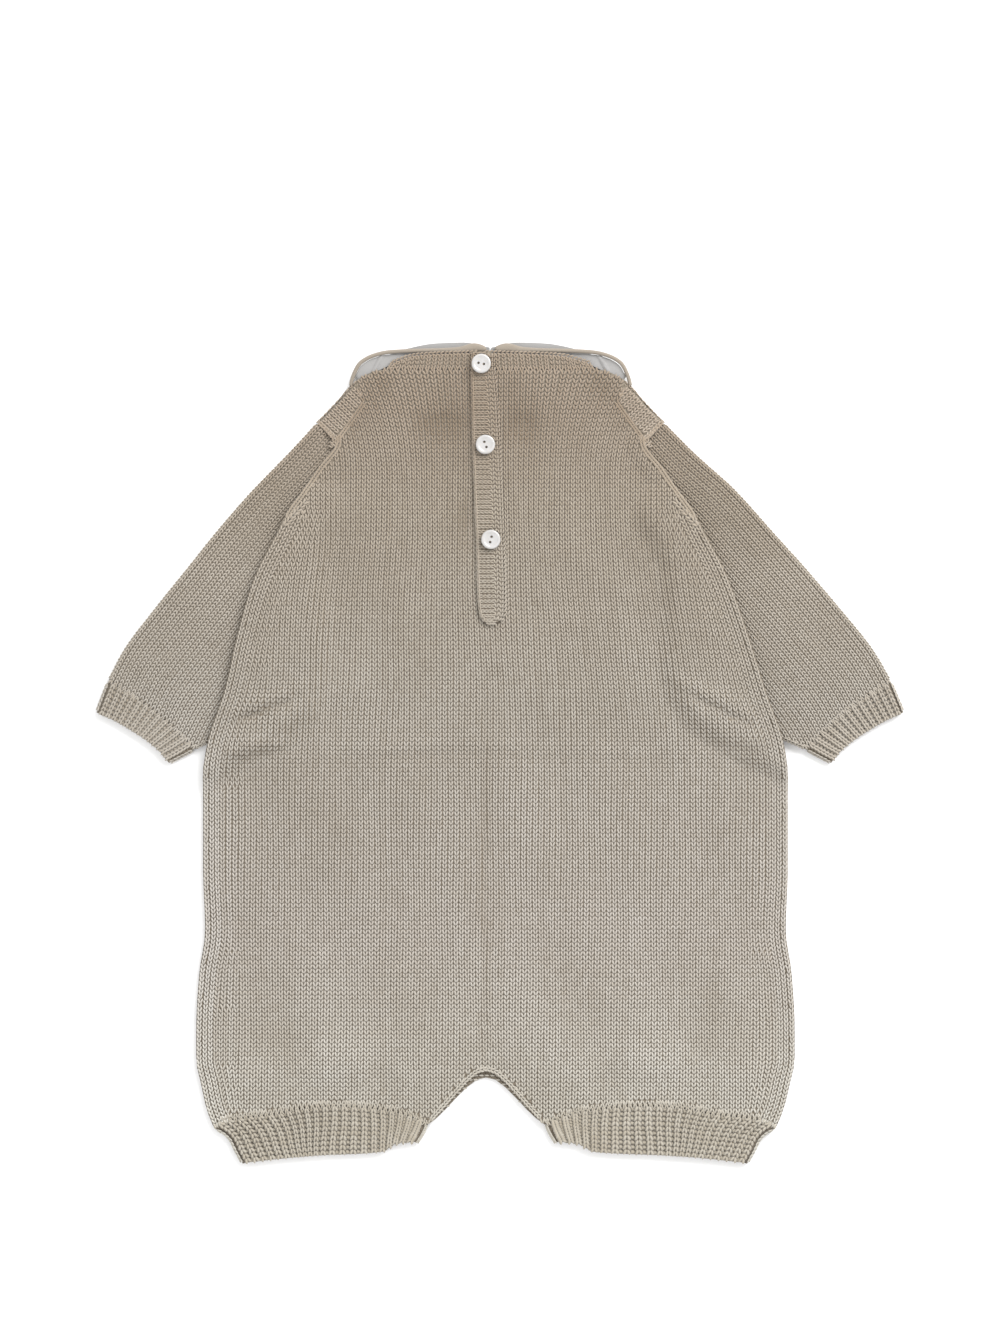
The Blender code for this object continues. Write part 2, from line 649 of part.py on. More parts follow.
def sleeve_plan(side):
    """Plan of a sleeve: u from its upper edge to its underarm fold, v from armhole to rib."""
    sides = (lambda v: edge(SLEEVE_EDGE, v, side), lambda v: edge(SLEEVE_FOLD, v, side))
    ends = (lambda u: edge(SLEEVE_ARMHOLE, u, side), lambda u: edge(RIB_TOP, u, side))
    return lambda u, v: coons(u, v, sides, ends, (ARMHOLE_FADE, 1))


def straight(first, last):
    """Edge that runs straight from one point to another."""
    return lambda v: first[None, :] * (1 - np.asarray(v)[..., None]) + last * np.asarray(v)[..., None]


def sleeve_rib_plan(side):
    """Plan of a sleeve's rib: v from a seam's width below the sleeve to the free end."""
    tops, ends = (lambda u: edge(RIB_TOP, u, side)), (lambda u: edge(RIB_END, u, side))
    corners = [f(np.array(k)) for k in (0.0, 1.0) for f in (tops, ends)]
    sides = (straight(corners[0], corners[1]), straight(corners[2], corners[3]))
    return lambda u, v: coons(u, v, sides, (tops, ends))


def leg_rib_plan(side):
    """Plan of a leg's rib: u from the outer to the inner fold, v from the body down."""

    def top(u):
        points = edge(BOTTOM, np.asarray(u) * LEG_SHARE, side)
        drop = LEG_CORNER_DROP * np.exp(-np.asarray(u) / LEG_CORNER_SHARE)
        points[..., 1] -= LEG_SEAM + drop
        return points

    sides = (lambda v: edge(LEG_OUTER_FOLD, v, side), lambda v: edge(LEG_INNER_FOLD, v, side))
    return lambda u, v: coons(u, v, sides, (top, lambda u: edge(LEG_END, u, side)))


def add_rib(name, plan, ribs, rows, material):
    """Ribbed tube: the ribs stand out from its upper layer, which lies over a plain inside."""
    count = 3 * ribs + 1
    mid = tube(plan, rows, count, RIB_UNDER, flat_top)
    relief = np.zeros(mid.shape[:2])
    relief[:, :count] = np.tile(np.resize(RIB_RELIEF, count), (len(rows), 1))
    return add_object(name, *wall(mid, KNIT, relief, wrap=True), material)


def add_opening_band(material):
    """Knitted band that closes the back opening; it lies on the back panel."""
    y = np.array(OPENING["y"], float)
    across = np.linspace(0, 1, 4)
    left = np.array(OPENING["left"], float)[:, None]
    right = np.array(OPENING["right"], float)[:, None]
    x = left + (right - left) * across
    grid = np.stack([x, np.broadcast_to(y[:, None], x.shape)], axis=-1)
    rise = KNIT / 2 + SEAM + BAND / 2
    height = [[back_at(px, min(py, NECKLINE_Y)) + rise for px, py in row] for row in grid]
    height = np.array(height)
    mid = np.concatenate([grid, height[..., None]], axis=-1)[::-1]
    return add_object("placket_band", *wall(mid, BAND), material)


def add_button(index, material):
    """Round two-hole button, dished inside its rim, on the opening band."""
    x, y, turn = (BUTTONS[key][index] for key in ("x", "y", "turn"))
    base = back_at(x, min(y, NECKLINE_Y)) + KNIT / 2 + SEAM + BAND + BUTTON_SHANK
    radius = BUTTON_D / 2
    dished = BUTTON_T - BUTTON_DISH
    profile = (
        (0.0, dished),
        (radius - BUTTON_RIM - BUTTON_EDGE, dished),
        (radius - BUTTON_RIM, BUTTON_T),
        (radius - BUTTON_EDGE, BUTTON_T),
        (radius, dished),
        (radius, BUTTON_EDGE),
        (radius - BUTTON_EDGE, 0.0),
        (0.0, 0.0),
    )
    shape = bmesh.new()
    chain = [shape.verts.new((r, 0, z)) for r, z in profile]
    edges = [shape.edges.new(pair) for pair in zip(chain[:-1], chain[1:])]
    bmesh.ops.spin(shape, geom=chain + edges, cent=(0, 0, 0), axis=(0, 0, 1),
                   angle=2 * np.pi, steps=BUTTON_SIDES, use_merge=True)
    bmesh.ops.remove_doubles(shape, verts=shape.verts, dist=1e-4)
    bmesh.ops.recalc_face_normals(shape, faces=shape.faces)
    shape.verts.index_update()
    points = [tuple(v.co) for v in shape.verts]
    faces = [[v.index for v in face.verts] for face in shape.faces]
    shape.free()
    disc = add_object(f"button_{index + 1}", np.array(points), faces, material)
    for sign in (-1, 1):
        bpy.ops.mesh.primitive_cylinder_add(
            vertices=10, radius=BUTTON_HOLE_D / 2 * MM, depth=3 * BUTTON_T * MM,
            location=(sign * BUTTON_HOLE_PITCH / 2 * MM, 0, 0),
        )
        cutter = bpy.context.object
        cutter.name = f"button_hole_{index + 1}_{sign}"
        cutter.hide_render = True
        cutter.display_type = "WIRE"
        cutter.parent = disc
        cut = disc.modifiers.new("hole", "BOOLEAN")
        cut.operation, cut.object = "DIFFERENCE", cutter
    disc.location = (x * MM, y * MM, base * MM)
    disc.rotation_euler = (0, 0, np.radians(turn))
    return disc


def add_neckband(side, material):
    """Knitted band along one half of the back neckline."""
    share = np.linspace(0, 1, 9)
    rows = []
    for part in np.linspace(0, 1, 3):
        half = (1 - part) * read(NECKBAND, "share", "low_half", share)
        half += part * read(NECKBAND, "share", "high_half", share)
        half -= (side > 0) * NECKBAND_REACH * share
        y = (1 - part) * read(NECKBAND, "share", "low_y", share)
        y += part * read(NECKBAND, "share", "high_y", share)
        x = TOP_MIDDLE + side * half
        z = [back_at(px, NECKLINE_Y) for px in x]
        rows.append(np.column_stack([x, y, z]))
    mid = np.array(rows)
    if side > 0:
        mid = mid[:, ::-1]
    name = "neckband_left" if side < 0 else "neckband_right"
    return add_object(name, *wall(mid, KNIT), material)


def ribbon_read(table, columns, count):
    """Reads columns of a path table at even shares of its rows."""
    rows = len(table[columns[0]])
    keyed = dict(table, row=tuple(range(rows)))
    at = np.linspace(0, rows - 1, count)
    return [read(keyed, "row", column, at) for column in columns]


def add_collar(side, material):
    """White collar half: turned up at the back, round the shoulder and along the front."""
    names = ("half", "y", "out_half", "out_y", "z")
    half, y, out_half, out_y, z = ribbon_read(COLLAR_PATH, names, COLLAR_STEPS)
    inner = np.column_stack([TOP_MIDDLE + side * half, y, z])
    outer = np.column_stack([TOP_MIDDLE + side * out_half, out_y, z])
    across = np.linspace(0, 1, 4)[:, None, None]
    mid = (1 - across) * inner + across * outer
    name = "collar_left" if side < 0 else "collar_right"
    return add_object(name, *wall(mid, COLLAR), material)


def add_binding(side, material):
    """Narrow binding along the turned-up edge of a collar half."""
    half, y, z, wide = ribbon_read(BINDING_PATH, ("half", "y", "z", "wide"), BINDING_STEPS)
    line = np.column_stack([TOP_MIDDLE + side * half, y, z])
    tangent = unit(np.gradient(line, axis=0))
    sideways = unit(np.cross(tangent, (0, 0, 1)))
    up = np.cross(sideways, tangent)
    angle = np.linspace(0, 2 * np.pi, BINDING_SIDES, endpoint=False)
    rings = [
        line + sideways * (wide * np.cos(a))[:, None] + up * BINDING_HIGH * np.sin(a) for a in angle
    ]
    rings = np.stack(rings, axis=1)
    count = len(angle)
    points = rings.reshape(-1, 3)
    faces = []
    for r in range(len(rings) - 1):
        for c in range(count):
            n = (c + 1) % count
            faces.append((r * count + c, r * count + n, (r + 1) * count + n, (r + 1) * count + c))
    faces.append(tuple(reversed(range(count))))
    faces.append(tuple(range((len(rings) - 1) * count, len(rings) * count)))
    name = "collar_binding_left" if side < 0 else "collar_binding_right"
    return add_object(name, points, faces, material)


def main():
    for old in list(bpy.data.objects):
        bpy.data.objects.remove(old)
    knit = make_material("beige_knit", BEIGE, 0.9)
    cotton = make_material("white_cotton", WHITE, 0.8)
    bound = make_material("beige_binding", BEIGE, 0.8)
    shell = make_material("shell_button", SHELL, 0.3)

    body_panel("front_panel", FRONT, knit)
    body_panel("back_panel", BACK, knit)
    for side, word in ((-1, "left"), (1, "right")):
        mid = tube(sleeve_plan(side), SLEEVE_ROWS, SLEEVE_OVER, SLEEVE_UNDER, airy_top)
        add_object(f"sleeve_{word}", *wall(mid, KNIT, wrap=True), knit)
        add_rib(f"sleeve_rib_{word}", sleeve_rib_plan(side), SLEEVE_RIBS, SLEEVE_RIB_ROWS, knit)
        add_rib(f"leg_rib_{word}", leg_rib_plan(side), LEG_RIBS, LEG_RIB_ROWS, knit)
        add_neckband(side, knit)
        add_collar(side, cotton)
        add_binding(side, bound)
    add_opening_band(knit)
    for index in range(len(BUTTONS["x"])):
        add_button(index, shell)


main()
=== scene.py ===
"""Looks of a baby romper in plain knit that lies flat with its back up.

Each cloth piece is a thin shell on the form of its solid. Its knitted face is made of single
stitches, two yarn legs each, that Geometry Nodes place along the wales, the upright columns of
the knitting. Lengths are in millimetres here and become metres in the meshes. The origin is under
the middle of the garment, with +Y from the legs to the neck and +Z out of the garment's back.
"""

import logging
import math
from collections.abc import Callable, Sequence
from dataclasses import dataclass, field
from enum import Enum
from functools import partial

import bmesh
import bpy
import numpy as np
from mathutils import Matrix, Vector
from mathutils.kdtree import KDTree


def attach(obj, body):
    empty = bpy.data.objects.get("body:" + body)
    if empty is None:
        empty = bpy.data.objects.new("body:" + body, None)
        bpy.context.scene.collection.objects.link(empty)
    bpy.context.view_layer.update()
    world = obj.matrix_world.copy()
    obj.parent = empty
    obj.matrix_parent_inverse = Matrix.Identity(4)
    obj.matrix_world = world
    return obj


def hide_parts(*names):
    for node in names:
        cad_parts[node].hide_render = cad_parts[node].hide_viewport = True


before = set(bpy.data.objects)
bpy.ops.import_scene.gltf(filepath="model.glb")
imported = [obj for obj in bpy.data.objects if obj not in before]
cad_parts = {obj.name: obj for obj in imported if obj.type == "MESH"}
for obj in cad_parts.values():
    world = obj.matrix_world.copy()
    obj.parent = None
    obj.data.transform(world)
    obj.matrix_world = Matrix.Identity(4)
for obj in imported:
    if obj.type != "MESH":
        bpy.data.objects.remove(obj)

LOG = logging.getLogger("romper")
MM = 0.001
Array = np.ndarray
Plan = Callable[[Array, Array], Array]
Made = dict[str, bpy.types.Object]
Socket = bpy.types.NodeSocket
Adder = Callable[..., Socket]
Colour = tuple[float, float, float, float]

# Kinds of node that are used again and again.
MATH = "ShaderNodeMath"
VECTOR = "ShaderNodeCombineXYZ"
RANGE = "ShaderNodeMapRange"
MIX = "ShaderNodeMix"
NOISE = "ShaderNodeTexNoise"
WAVE = "ShaderNodeTexWave"
VALUE = "ShaderNodeAttribute"

# Cloth thicknesses and heights of the layers' middles, as in the solids.
KNIT = 1.8
SEAM = 0.3
FOLD = 2.6
LOWER = KNIT / 2
UPPER = LOWER + FOLD
SLEEVE_TOP = UPPER + KNIT / 2
OVER_SLEEVE = SLEEVE_TOP + SEAM
OVER_ARMHOLE = OVER_SLEEVE + KNIT / 2 - UPPER

# The knitted face: the ground stands this high over a wall's middle, and stitches sink into it.
GROUND = 0.25
SINK = 0.12
# Lets a way out be carried along a line without a change in the line's length.
CARRY = 0.001
UP = (0.0, 0.0, 1.0)
ALONG_Y = (0.0, 1.0, 0.0)

# The body: middle line of its upper part, armhole, neckline, slit and crotch.
MIDDLE = -5.2
UNDERARM_Y = 132.8
ARMHOLE_TOP_Y = 171.3
NECKLINE_Y = 210.2
NECK_SHARE = 0.16
LEG_SHARE = 0.38
SLIT = (0.4855, 0.4902)
SLIT_END_Y = 84.0
CROTCH_X = -7.7
CROTCH_HALF = 31.0

# Where the back rises over what lies under it: how far that reaches and how it dies away.
SLEEVE_REACH = 190.0
LIFT_MARGIN = 9.0
LIFT_RAMP = 15.0
ARMHOLE_MARGIN = 4.0
ARMHOLE_RAMP = 9.0
LAP_RAMP = 6.5
FORM_FADE = 0.06
LEG_FADE = 0.07
NECK_FADE = 0.2

# Quarter round on which a panel's edge turns down to its seam.
ARC = np.radians((90.0, 60.0, 30.0, 0.0))
ARC_STEP = (1 - np.sin(ARC)) * FOLD / 2
ARC_DROP = 1 - np.cos(ARC)
SEAM_END = 16.0
SEAM_RAMP = 9.0


class Side(Enum):
    """Left and right of someone who looks at the garment's back."""

    LEFT = -1
    RIGHT = 1

    @property
    def word(self) -> str:
        """The side's name in node names."""
        return self.name.lower()


class Stitch(Enum):
    """Faces of a knitted loop: two legs on the plain side, one bar on the purl side."""

    PLAIN = "plain"
    PURL = "purl"


# ---- shape helpers


def smooth(t: Array) -> Array:
    """Smooth step from 0 to 1."""
    t = np.clip(t, 0, 1)
    return t * t * (3 - 2 * t)


def unit(vectors: Array) -> Array:
    """Vectors made one long."""
    return vectors / np.maximum(np.linalg.norm(vectors, axis=-1, keepdims=True), 1e-9)


def read(knots: Sequence[float], values: Sequence[float], at: Array) -> Array:
    """Reads a table column with a monotone cubic, which never overshoots its values.

    Args:
        knots: the key column, rising.
        values: the column to read.
        at: keys at which it is read.

    Returns:
        The values at those keys.
    """
    x, y = np.asarray(knots, float), np.asarray(values, float)
    at = np.asarray(at, float)
    step = np.diff(x)
    rise = np.diff(y) / step
    slope = np.zeros_like(y)
    before, after = rise[:-1], rise[1:]
    first, second = 2 * step[1:] + step[:-1], step[1:] + 2 * step[:-1]
    with np.errstate(divide="ignore", invalid="ignore"):
        mean = (first + second) / (first / before + second / after)
    slope[1:-1] = np.where(before * after > 0, mean, 0.0)
    slope[0], slope[-1] = rise[0], rise[-1]
    i = np.clip(np.searchsorted(x, at, side="right") - 1, 0, len(x) - 2)
    t = np.clip((at - x[i]) / step[i], 0, 1)
    return (
        y[i] * (1 + 2 * t) * (1 - t) ** 2
        + step[i] * slope[i] * t * (1 - t) ** 2
        + y[i + 1] * t**2 * (3 - 2 * t)
        + step[i] * slope[i + 1] * t**2 * (t - 1)
    )


def distance_to(points: Array, line: Array) -> Array:
    """Distance of each plan point from a line of points.

    Args:
        points: plan points.
        line: the line.

    Returns:
        The distances.
    """
    best = np.full(points.shape[:-1], np.inf)
    for a, b in zip(line[:-1], line[1:]):
        d = b - a
        t = np.clip(((points - a) @ d) / max(float(d @ d), 1e-12), 0, 1)
        best = np.minimum(best, np.linalg.norm(points - a - t[..., None] * d, axis=-1))
    return best


def inside(points: Array, ring: Array) -> Array:
    """Whether each plan point lies inside a closed ring of points.

    Args:
        points: plan points.
        ring: the ring.

    Returns:
        True for each point inside.
    """
    hit = np.zeros(points.shape[:-1], bool)
    x, y = points[..., 0], points[..., 1]
    for (x0, y0), (x1, y1) in zip(ring, np.roll(ring, -1, axis=0)):
        if y0 != y1:
            crosses = (y0 > y) != (y1 > y)
            hit ^= crosses & (x < (x1 - x0) * (y - y0) / (y1 - y0) + x0)
    return hit


def even_line(points: Array, step: float) -> Array:
    """Points spaced evenly by about a step along a line.

    Args:
        points: points along it.
        step: about how far apart.

    Returns:
        The spaced points.
    """
    length = np.concatenate([[0], np.cumsum(np.linalg.norm(np.diff(points, axis=0), axis=1))])
    at = np.linspace(0, length[-1], max(2, round(length[-1] / step) + 1))
    return np.stack([np.interp(at, length, points[:, k]) for k in range(points.shape[1])], axis=-1)


@dataclass(frozen=True)
class Edge:
    """Edge of a piece in plan: half widths about a middle line, keyed by a share from 0 to 1."""

    share: tuple[float, ...]
    half: tuple[float, ...]
    y: tuple[float, ...]
    middle: tuple[float, ...] | float = MIDDLE

    def at(self, share: Array, side: int) -> Array:
        """Plan points at shares along the edge.

        Args:
            share: the shares.
            side: left (-1) or right (1).

        Returns:
            The points.
        """
        middle = self.middle
        if isinstance(middle, tuple):
            middle = read(self.share, middle, share)
        half = read(self.share, self.half, share)
        return np.stack([middle + side * half, read(self.share, self.y, share)], axis=-1)

    def whole(self, share: Array) -> Array:
        """Plan points of an edge that is stated to its middle and mirrored past it.

        Args:
            share: shares along it.

        Returns:
            The points.
        """
        share = np.asarray(share, float)
        left = self.at(np.minimum(share, 0.5), -1)
        right = self.at(np.minimum(1 - share, 0.5), 1)
        return np.where((share <= 0.5)[..., None], left, right)


def coons(
    u: Array,
    v: Array,
    sides: Sequence[Callable[[Array], Array]],
    ends: Sequence[Callable[[Array], Array]],
    fades: tuple[float, float] = (1, 1),
) -> Array:
    """Plan points inside four edges.

    Args:
        u: share across, from the first side to the second.
        v: share along, from the first end to the second.
        sides: edges along v at u 0 and 1.
        ends: edges along u at v 0 and 1.
        fades: powers by which the bow of each end dies away towards the other end.

    Returns:
        The plan points.
    """
    u, v = np.broadcast_arrays(np.asarray(u, float), np.asarray(v, float))
    a, b = u[..., None], v[..., None]

    def bow(end: Callable[[Array], Array]) -> Array:
        """How far an end bends away from its straight line."""
        return end(u) - (1 - a) * end(np.zeros_like(u)) - a * end(np.ones_like(u))

    between = (1 - a) * sides[0](v) + a * sides[1](v)
    return between + (1 - b) ** fades[0] * bow(ends[0]) + b ** fades[1] * bow(ends[1])


# ---- pattern of the garment


SIDE = dict(
    y=(-205.4, -195.5, -182.3, -169, -152.6, -122.4, -97.6, -64.6, -15.1, 4.1, 34.4, 61.9, 96.5,
       120.7, 132.8, 142.7, 156.5, 171.3, 182.3),
    middle=(-2.8, -2.7, -2.5, -2.5, -2.5, -2.5, -2.5, -2.5, -2.5, -2.5, -2.8, -3.9, -5,
            -5.1, -5.2, -5.2, -5.2, -5.2, -5.2),
    half=(155.1, 159, 162, 164.7, 164.7, 163.1, 159.8, 160.9, 160.9, 158.4, 148.5, 141.1, 129.8,
          117.4, 111.1, 103.9, 94.6, 84.7, 95.2),
)
BACK_TOP = Edge(
    share=(0, 0.08, 0.16, 0.185, 0.24, 0.28, 0.5),
    half=(95.2, 86.5, 74, 70, 60, 50, 0),
    y=(182.3, 190.6, 204.3, 206.8, 210.3, 210.5, 210.4),
)
FRONT_TOP = Edge(
    share=(0, 0.08, 0.16, 0.2, 0.28, 0.38, 0.5),
    half=(95.2, 86.5, 74, 68, 55, 34, 0),
    y=(182.3, 190.6, 203.6, 200.5, 197.5, 196, 195.5),
)
BOTTOM = Edge(
    share=(0, 0.02, 0.06, 0.11, 0.15, 0.22, 0.3, 0.355, 0.38, 0.395, 0.42, 0.445, 0.465, 0.48, 0.5),
    middle=(-2.8, -2.8, -2.9, -3.2, -3.5, -4.5, -6, -7, -7.5, -7.6, -7.7, -7.7, -7.7, -7.7, -7.7),
    half=(155.1, 149.6, 136.8, 119.5, 107.6, 84.6, 57.8, 40.3, 32.1, 28.7, 22.6, 15.4, 9.5, 5, 0),
    y=(-205.4, -202.6, -200.3, -198.3, -195.6, -193.9, -196.1, -200.5, -204.3, -201, -194.4, -186.2,
       -180.1, -176.6, -175.2),
)
SLEEVE_EDGE = Edge(
    share=(0, 0.08, 0.26, 0.42, 0.58, 0.74, 0.9, 1),
    middle=(-5.2, -4.7, -3.3, -3, -1.9, -1.4, -0.8, -0.3),
    half=(95.8, 110.3, 133.1, 152.6, 171.3, 189.5, 206.5, 215.4),
    y=(181.6, 166.4, 144.4, 122.4, 100.4, 78.4, 56.4, 40.4),
)
SLEEVE_FOLD = Edge(
    share=(0, 0.1, 0.26, 0.42, 0.58, 0.74, 0.86, 0.91, 0.955, 1),
    middle=(-5.2, -4.8, -4.2, -3.5, -3, -2.5, -2, -1.5, -1, 0),
    half=(100.5, 103.5, 108, 112, 112.5, 110.5, 115, 132, 150, 166.7),
    y=(131, 126, 116, 101, 80, 55, 33.5, 19, 9.4, 1.6),
)
SLEEVE_ARMHOLE = Edge(
    share=(0, 0.14, 0.3, 0.55, 0.8, 1),
    half=(95.8, 87.6, 84.2, 91.6, 98.8, 100.5),
    y=(181.6, 173.2, 166.4, 156, 143.2, 131),
)
RIB_TOP = Edge(
    share=(0, 0.5, 1),
    middle=(-0.3, -0.2, 0.0),
    half=(215.4, 190.2, 166.7),
    y=(40.4, 23.4, 1.6),
)
RIB_END = Edge(
    share=(0, 0.05, 0.2, 0.42, 0.62, 0.8, 0.95, 1),
    middle=0.0,
    half=(222.2, 220.5, 213.5, 203, 194.5, 187.5, 182, 179.8),
    y=(23.4, 21.4, 18.2, 12.3, 6.8, 1, -4.9, -5.3),
)
LEG_END = Edge(
    share=(0, 0.3, 0.5, 0.78, 0.87, 0.93, 1),
    middle=(-2.8, -3.3, -4.5, -6.5, -7.2, -7.5, -7.5),
    half=(139.7, 110, 95, 58.5, 50.5, 45, 36.8),
    y=(-225.8, -222.6, -221.5, -219.5, -215.2, -214.2, -213.9),
)
LEG_OUTER_FOLD = Edge(
    share=(0, 0.3, 0.55, 0.75, 1),
    middle=-2.8,
    half=(155.1, 149.8, 146, 143.6, 139.7),
    y=(-207.15, -209.9, -213.6, -218.6, -225.8),
)
LEG_INNER_FOLD = Edge(
    share=(0, 0.5, 1),
    middle=-7.5,
    half=(32.1, 34.2, 36.8),
    y=(-204.85, -209.6, -213.9),
)
OPENING = dict(
    y=(71.5, 76, 90, 110, 140, 172, 198, 213, 220.3),
    left=(-8.2, -11, -12.2, -12.6, -13.8, -14.9, -15.4, -15.6, -15.2),
    right=(-1.4, 1.2, 1.4, 0.8, -0.4, -1.8, -3.2, -4.6, -4.6),
)
NECKBAND = dict(
    share=(0, 0.12, 0.3, 0.6, 1),
    low_half=(57.4, 51.0, 43, 28, 6),
    low_y=(210.8, 210.9, 210.9, 210.9, 210.8),
    high_half=(55.4, 49.5, 42.3, 27, 6),
    high_y=(213.0, 215.4, 217.6, 218.7, 219.3),
)
COLLAR_PATH = dict(
    half=(2.4, 12, 28, 42, 50.2, 59.3, 67, 70.9, 72.8, 71.6, 66, 56, 44, 30, 15, 0.5),
    y=(216.6, 216.6, 216.6, 215.6, 214.8, 210.9, 207.6, 205.6, 205, 205.4, 203.2, 199, 197.4, 196.6,
       196.2, 196.1),
    out_half=(2.4, 13, 28, 42.5, 54.6, 64.2, 71.2, 73.6, 74.6, 72.6, 66.5, 57, 45, 30, 15, 0.5),
    out_y=(219.9, 219.9, 219.2, 219.0, 219.0, 217.0, 212.6, 208.6, 207.6, 208.8, 213, 218.6, 222.6,
           225.3, 225.8, 223),
    z=(1.9, 1.9, 1.9, 1.9, 2.2, 2.5, 2.6, 2.4, 1.7, 0.7, 0.5, 0.5, 0.5, 0.5, 0.5, 0.5),
)
BINDING_PATH = dict(
    half=(2.2, 9, 18, 30, 43, 55.5, 65, 71.9, 74.7, 76.2, 76.9),
    y=(221.6, 222.8, 221.5, 221.2, 220.9, 220.2, 218.0, 213.8, 208.9, 204.9, 201.4),
    z=(3.3, 3.4, 3.3, 3.2, 3.3, 3.7, 3.9, 3.9, 3.5, 2.9, 2.5),
    wide=(1.5, 2.3, 1.5, 1.1, 1.1, 1.1, 1.1, 1.1, 1.1, 1.1, 1.1),
)


@dataclass(frozen=True)
class Crease:
    """Soft ridge or trough: middle, reach along and across, turn in degrees, and height."""

    x: float
    y: float
    along: float
    across: float
    turn: float
    height: float

    def at(self, points: Array) -> Array:
        """Height of the crease at plan points.

        Args:
            points: plan points.

        Returns:
            The heights.
        """
        turn = math.radians(self.turn)
        c, s = math.cos(turn), math.sin(turn)
        dx, dy = points[..., 0] - self.x, points[..., 1] - self.y
        a, b = (dx * c + dy * s) / self.along, (dy * c - dx * s) / self.across
        return self.height * np.exp(-(a**2) - b**2)


# Folds and hollows of the back: those of the solids, and then finer ones that only the
# dressed cloth has.
FORMS = tuple(Crease(*row) for row in (
    (-143, -182, 16, 12, 60, 1.2), (-92, -170, 30, 13, 10, 1.3), (134, -182, 16, 12, 120, 1.2),
    (84, -170, 30, 13, -10, 1.3), (-122, -140, 30, 10, 70, -0.7), (116, -140, 30, 10, 110, -0.7),
    (-46, -168, 26, 10, 60, 0.9), (34, -168, 26, 10, 120, 0.9), (-114, 23, 34, 9, 27, 1.2),
    (-134, 4, 24, 8, 7, 0.7), (127, 20, 34, 9, -29, 1.2), (-83, 182, 18, 7, 55, -1.0),
    (73, 182, 18, 7, 125, -1.0), (-28, 182, 22, 12, 80, -0.8), (14, 182, 26, 12, 100, -0.8),
    (-30, 120, 30, 10, 85, -0.6), (-24, -70, 90, 9, 90, 0.6), (12, -70, 90, 9, 90, 0.6),
    (-92, 118, 26, 9, 20, -0.6), (84, 118, 26, 9, 160, -0.6), (-150, -60, 70, 7, 90, 0.5),
    (145, -60, 70, 7, 90, 0.5),
    (-129, 28.5, 22, 3.2, 20.5, 1.6), (-130, 22.5, 22, 3.0, 20.5, -1.7), (-133, 4, 22, 3.0, 8, 1.1),
    (-130, -1, 22, 3.0, 8, -0.7), (121, 29, 24, 3.2, -26, 1.2), (119, 24, 22, 2.6, -26, -1.3),
    (138, 2, 18, 3.0, -10, -0.6), (-33, 180, 8, 15, 84, -1.8), (12, 179, 8, 9, 88, -2.0),
    (-19.8, 128, 14, 4, 86, -1.4), (-64, 203, 8, 6, 60, -1.3), (54, 203, 8, 6, 120, -1.3),
    (-83, 182, 16, 2.4, 55, -0.9), (73, 182, 16, 2.4, 125, -0.9), (-60, 3, 60, 4, 3, 0.5),
    (-60, -3, 60, 4, 3, -0.4), (40, 2, 70, 4, -2, 0.45), (40, -4, 70, 4, -2, -0.35),
    (-8.5, -60, 110, 2.2, 90, -0.5), (-130, -178, 16, 8, 75, 0.3), (-116, -165, 16, 6, 95, -1.0),
    (-96, -178, 14, 7, 80, 0.7), (108, -165, 16, 6, 85, -1.0), (-92, 118, 26, 9, 20, 0.45),
    (84, 118, 26, 9, 160, 0.55), (-60, 172, 16, 9, 80, 0.6), (54, 172, 16, 9, 100, 0.6),
    (-66, -180, 12, 6, 110, -0.8), (60, -178, 12, 6, 70, -0.8), (-140, -95, 34, 8, 80, -0.5),
    (138, -90, 34, 8, 100, -0.5), (-40, 60, 40, 9, 60, -0.5), (52, 70, 40, 9, 118, -0.5),
    (-70, -60, 44, 10, 75, 0.4), (66, -70, 44, 10, 105, 0.4),
))


@dataclass(frozen=True)
class Panel:
    """What tells the front and back panels apart."""

    top: Edge
    crotch_drop: float
    lap: float
    leg_rise: float
    top_fade: float = 6.0

    def side(self, v: Array, side: int) -> Array:
        """Side edge from the leg rib (0) to the shoulder tip (1), drawn in at the armhole.

        Args:
            v: shares up it.
            side: left (-1) or right (1).

        Returns:
            The plan points.
        """
        y = SIDE["y"][0] + (SIDE["y"][-1] - SIDE["y"][0]) * np.asarray(v, float)
        half = read(SIDE["y"], SIDE["half"], y)
        lapped = smooth((y - UNDERARM_Y + 1.4 * LAP_RAMP) / LAP_RAMP)
        lapped = lapped * smooth((ARMHOLE_TOP_Y + LAP_RAMP / 2 - y) / LAP_RAMP)
        half = half - self.lap * lapped
        return np.stack([read(SIDE["y"], SIDE["middle"], y) + side * half, y], axis=-1)

    def bottom(self, share: Array) -> Array:
        """Bottom edge along the leg ribs and over the crotch.

        Args:
            share: shares along it.

        Returns:
            The plan points.
        """
        points = BOTTOM.whole(share)
        away = np.abs(np.asarray(share) - 0.5) / (0.5 - LEG_SHARE)
        points[..., 1] -= self.crotch_drop * np.clip(1 - away, 0, 1) ** 0.5
        points[..., 1] += self.leg_rise * (away > 1)
        return points

    def plan(self, u: Array, v: Array) -> Array:
        """Plan points, u across from left to right and v from the legs to the neck."""
        sides = (lambda s: self.side(s, -1), lambda s: self.side(s, 1))
        return coons(u, v, sides, (self.bottom, self.top.whole), (1, self.top_fade))

    def outline(self, count: int = 160) -> Array:
        """Closed ring of plan points round the panel.

        Args:
            count: how many points an edge has.

        Returns:
            The ring.
        """
        t = np.linspace(0, 1, count)
        return np.concatenate([
            self.side(t, -1)[:-1],
            self.top.whole(t)[:-1],
            self.side(t[::-1], 1)[:-1],
            self.bottom(t[::-1])[:-1],
        ])


